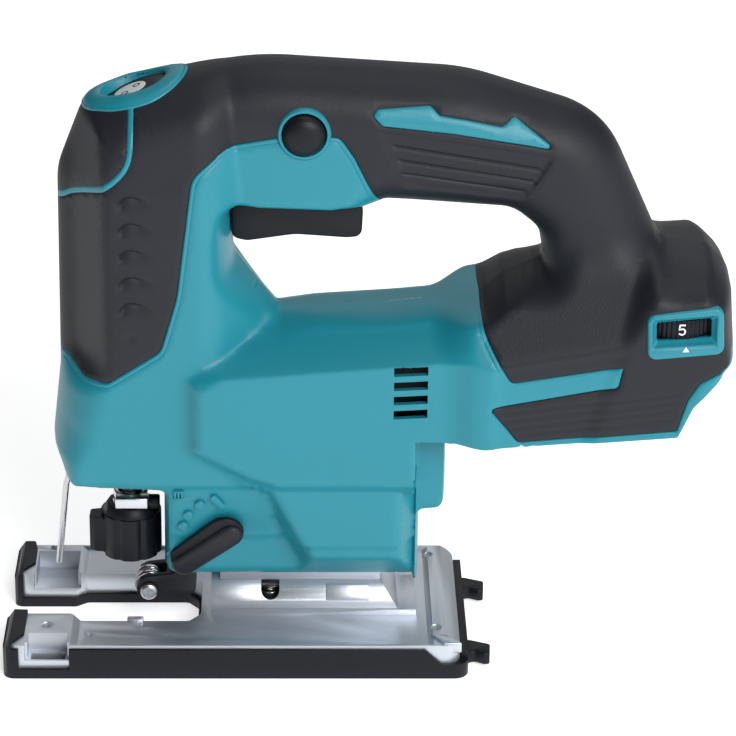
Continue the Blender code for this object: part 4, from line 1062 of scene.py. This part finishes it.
def sole():
    """Plastic cover round and under the base, with its toe caps and rear hooks."""
    cover = prism("sole_cover", rail_outline(), "Z", 0, 11.1, "black_moulding", "base")
    inner = tool(rail_outline(1.25, 1.3), "Z", 3.1, 20)
    lower = [(64.6, 11.3), (70.6, 5.4), (90, 5.4), (90, 14), (64.6, 14)]
    cut(cover, inner,
        tool(lower, "Y", -45, -33),
        tool(lower, "Y", 33, 45),
        *blocks(((74, 90), (-33.5, 33.5), (8.6, 14)),
                ((-74.5, -57.2), (-45, -34), (3.4, 20)),
                ((-72, -8), (-17.5, 17.5), (3.4, 20)),
                ((-77.0, -60), (10, 20), (3.4, 20)),
                ((-77.0, -60), (-20, -10), (3.4, 20))))
    bevelled(cover, 0.8, 3, 30)
    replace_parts(cover, "base_cover")
    for number, side in enumerate((1, -1), 1):
        near = [(-80.0, 37.0, 3), (-77.8, 38.5, 1), (-74.0, 38.5, 1), (-73.0, 33.0, 1), (-72.9, 22.0, 1),
                (-76.8, 16.5, 2), (-76.8, 13.2, 0.5), (-78.8, 13.0, 1), (-80.0, 16.0, 1)]
        if side < 0:
            near = [(-80.0, 36.0, 3), (-78.4, 38.5, 1), (-77.0, 38.5, 0.5), (-76.6, 36.0, 1),
                    (-73.0, 30.0, 1),
                    (-72.9, 13.2, 0.5), (-77.5, 13.0, 1), (-80.0, 15.5, 1)]
        outline = [(x, side * y) for x, y in rounded(near, 1.0)]
        cap = prism(f"toe_cap_{number}", outline, "Z", 2.0, 13.2, "black_moulding", "base")
        wedge = [(-81, 9.6), (-77.4, 13.4), (-81, 13.4)]
        bevelled(cut(cap, tool(wedge, "Y", -45, 45)), 0.6, 3, 30)
    for number, y in enumerate((-26, 20), 1):
        hook = rounded([(77, y + 5.0, 0.5), (81, y + 5.2, 2), (88, y + 2.2, 1), (87.6, y - 4.4, 0.8),
                        (85.6, y - 4.6, 0.6), (82.0, y - 2.6, 2), (79.5, y - 4.5, 1), (77, y - 5.0, 0.5)],
                        0.8)
        prism(f"cover_hook_{number}", hook, "Z", 1.0, 5.6, "black_moulding", "base", edge=0.7)


# ---------------------------------------------------------------- blade end

def opener():
    """Lobed collar that opens the blade clamp, its chamfered cap and the clamp's block."""
    outline = []
    for k in range(144):
        angle = 2 * math.pi * k / 144
        radius = 10.5
        for notch in (202, 248, 292, 338, 40, 90, 140):
            gap = abs((math.degrees(angle) - notch + 180) % 360 - 180)
            radius -= 0.75 * max(0, 1 - gap / 11) ** 1.5
        outline.append(polar(radius, angle, (ROD_X, 0)))
    barrel = prism("opener_barrel", outline, "Z", 30.5, 46.0, "black_moulding", "opener")
    wing = prism("opener_wing", rounded([(-51.4, -3.6, 1), (-49.5, -5.0, 1), (-42, -6.5, 1), (-42, 4.5, 1),
                                         (-51.2, 2.4, 1)], 0.8), "Z", 32, 44.6, "black_moulding", "opener")
    join(barrel, wing)
    cut(barrel, box("tool", (-44, -30), (-1.4, 1.4), (20, 44.5), "black_moulding", "opener"))
    bevelled(barrel, 0.6, 3, 40)
    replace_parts(barrel, "tool_opener")
    cap = [(6.9, 45.4), (10.0, 45.4), (10.0, 46.3), (8.3, 49.3), (6.9, 49.3)]
    lathe("opener_cap", cap, "Z", (ROD_X, 0, 0), "black_moulding", "opener", 12, edge=0.25)
    box("clamp_block", (-42.0, -30.6), (-8.4, -3.5), (49.8, 54.0), "machined_aluminium", "rod", 0.5)
    lathe("clamp_knob", [(0, 0), (2.3, 0), (2.6, 0.4), (2.6, 3.2), (2.2, 3.7), (0, 3.7)], "X",
          (-30.4, -6.0, 51.8),
          "black_moulding", "rod", 32)
    profile = [(0, -9.2), (2.2, -9.2), (2.9, -8.6), (2.9, -7.1), (0, -7.1)]
    lathe("roller_pin_head", profile, "Y", (-31, 0, 17.5), "zinc_steel", "roller_arm", 36)


def nose_bore():
    """Dark sleeve inside the round opening that the blade rod comes out of."""
    lathe("nose_sleeve", [(15.9, 63.4), (15.9, 80.4), (5.2, 80.4), (5.2, 80.1), (15.3, 80.1), (15.3, 63.4)],
          "Z",
          (ROD_X, 0, 0), "black_moulding", "housing", 64)
    box("battery_stop", (85.6, 86.4), (-31.4, 31.4), (86.2, 99.4), "teal_shell", "housing", 0.2)


def vent_backs():
    """Dark walls behind the air slots."""
    for number, side in enumerate((-1, 1), 1):
        box(f"vent_back_{number}", (52.4, 68), sorted((side * 19.0, side * 20.0)), (94, 115),
            "black_moulding", "housing")


# ---------------------------------------------------------------- camera, light and floor

def stage():
    camera = bpy.data.objects.new("camera", bpy.data.cameras.new("camera"))
    bpy.context.scene.collection.objects.link(camera)
    camera.data.sensor_width = 36
    camera.data.lens = 158
    aim, reach = Vector((45, 0, 99.9)), 1105
    pitch, yaw, roll = (math.radians(a) for a in (24.4, -1.3, 0.66))
    back = Vector((math.sin(yaw) * math.cos(pitch), -math.cos(yaw) * math.cos(pitch), math.sin(pitch)))
    camera.location = (aim + reach * back) * MM
    turn = back.to_track_quat("Z", "Y").to_matrix().to_4x4()
    camera.rotation_euler = (turn @ Matrix.Rotation(roll, 4, "Z")).to_euler()
    camera.data.clip_end = 50
    bpy.context.scene.camera = camera

    floor = bpy.data.materials.new("floor")
    floor.use_nodes = True
    shader = floor.node_tree.nodes["Principled BSDF"]
    shader.inputs["Base Color"].default_value = (0.96, 0.96, 0.96, 1)
    shader.inputs["Roughness"].default_value = 0.7
    shader.inputs["Emission Color"].default_value = (1, 1, 1, 1)
    shader.inputs["Emission Strength"].default_value = 0.62
    mesh = bpy.data.meshes.new("floor")
    mesh.from_pydata([(-12, -12, 0), (12, -12, 0), (12, 12, 0), (-12, 12, 0)], [], [(0, 1, 2, 3)])
    mesh.materials.append(floor)
    ground = bpy.data.objects.new("floor", mesh)
    bpy.context.scene.collection.objects.link(ground)

    def lamp(name, spot, size, power, colour=(1, 1, 1)):
        light = bpy.data.lights.new(name, "AREA")
        light.shape = "RECTANGLE"
        light.size, light.size_y = size
        light.energy = power
        light.color = colour
        obj = bpy.data.objects.new(name, light)
        obj.location = spot
        obj.rotation_euler = (Vector((0.04, 0, 0.1)) - Vector(spot)).to_track_quat("-Z", "Y").to_euler()
        bpy.context.scene.collection.objects.link(obj)

    lamp("key", (0.75, -1.55, 1.2), (1.0, 0.9), 30)
    lamp("side", (1.6, -0.7, 0.9), (1.0, 1.2), 6)
    lamp("top", (0.25, 0.3, 1.8), (1.3, 1.0), 7)
    lamp("back", (0.2, 1.6, 1.0), (1.6, 1.0), 4)
    world = bpy.data.worlds.new("studio")
    world.use_nodes = True
    world.node_tree.nodes["Background"].inputs["Color"].default_value = (1, 1, 1, 1)
    world.node_tree.nodes["Background"].inputs["Strength"].default_value = 0.06
    bpy.context.scene.world = world
    bpy.context.scene.view_settings.view_transform = "Standard"


finishes()
dress_cad()
for side, word in ((LEFT, "left"), (RIGHT, "right")):
    shell_half(side, word)
top_key()
lock_button()
trigger()
dial()
lever_marks(lever())
base()
sole()
opener()
nose_bore()
vent_backs()
stage()
bpy.context.view_layer.update()
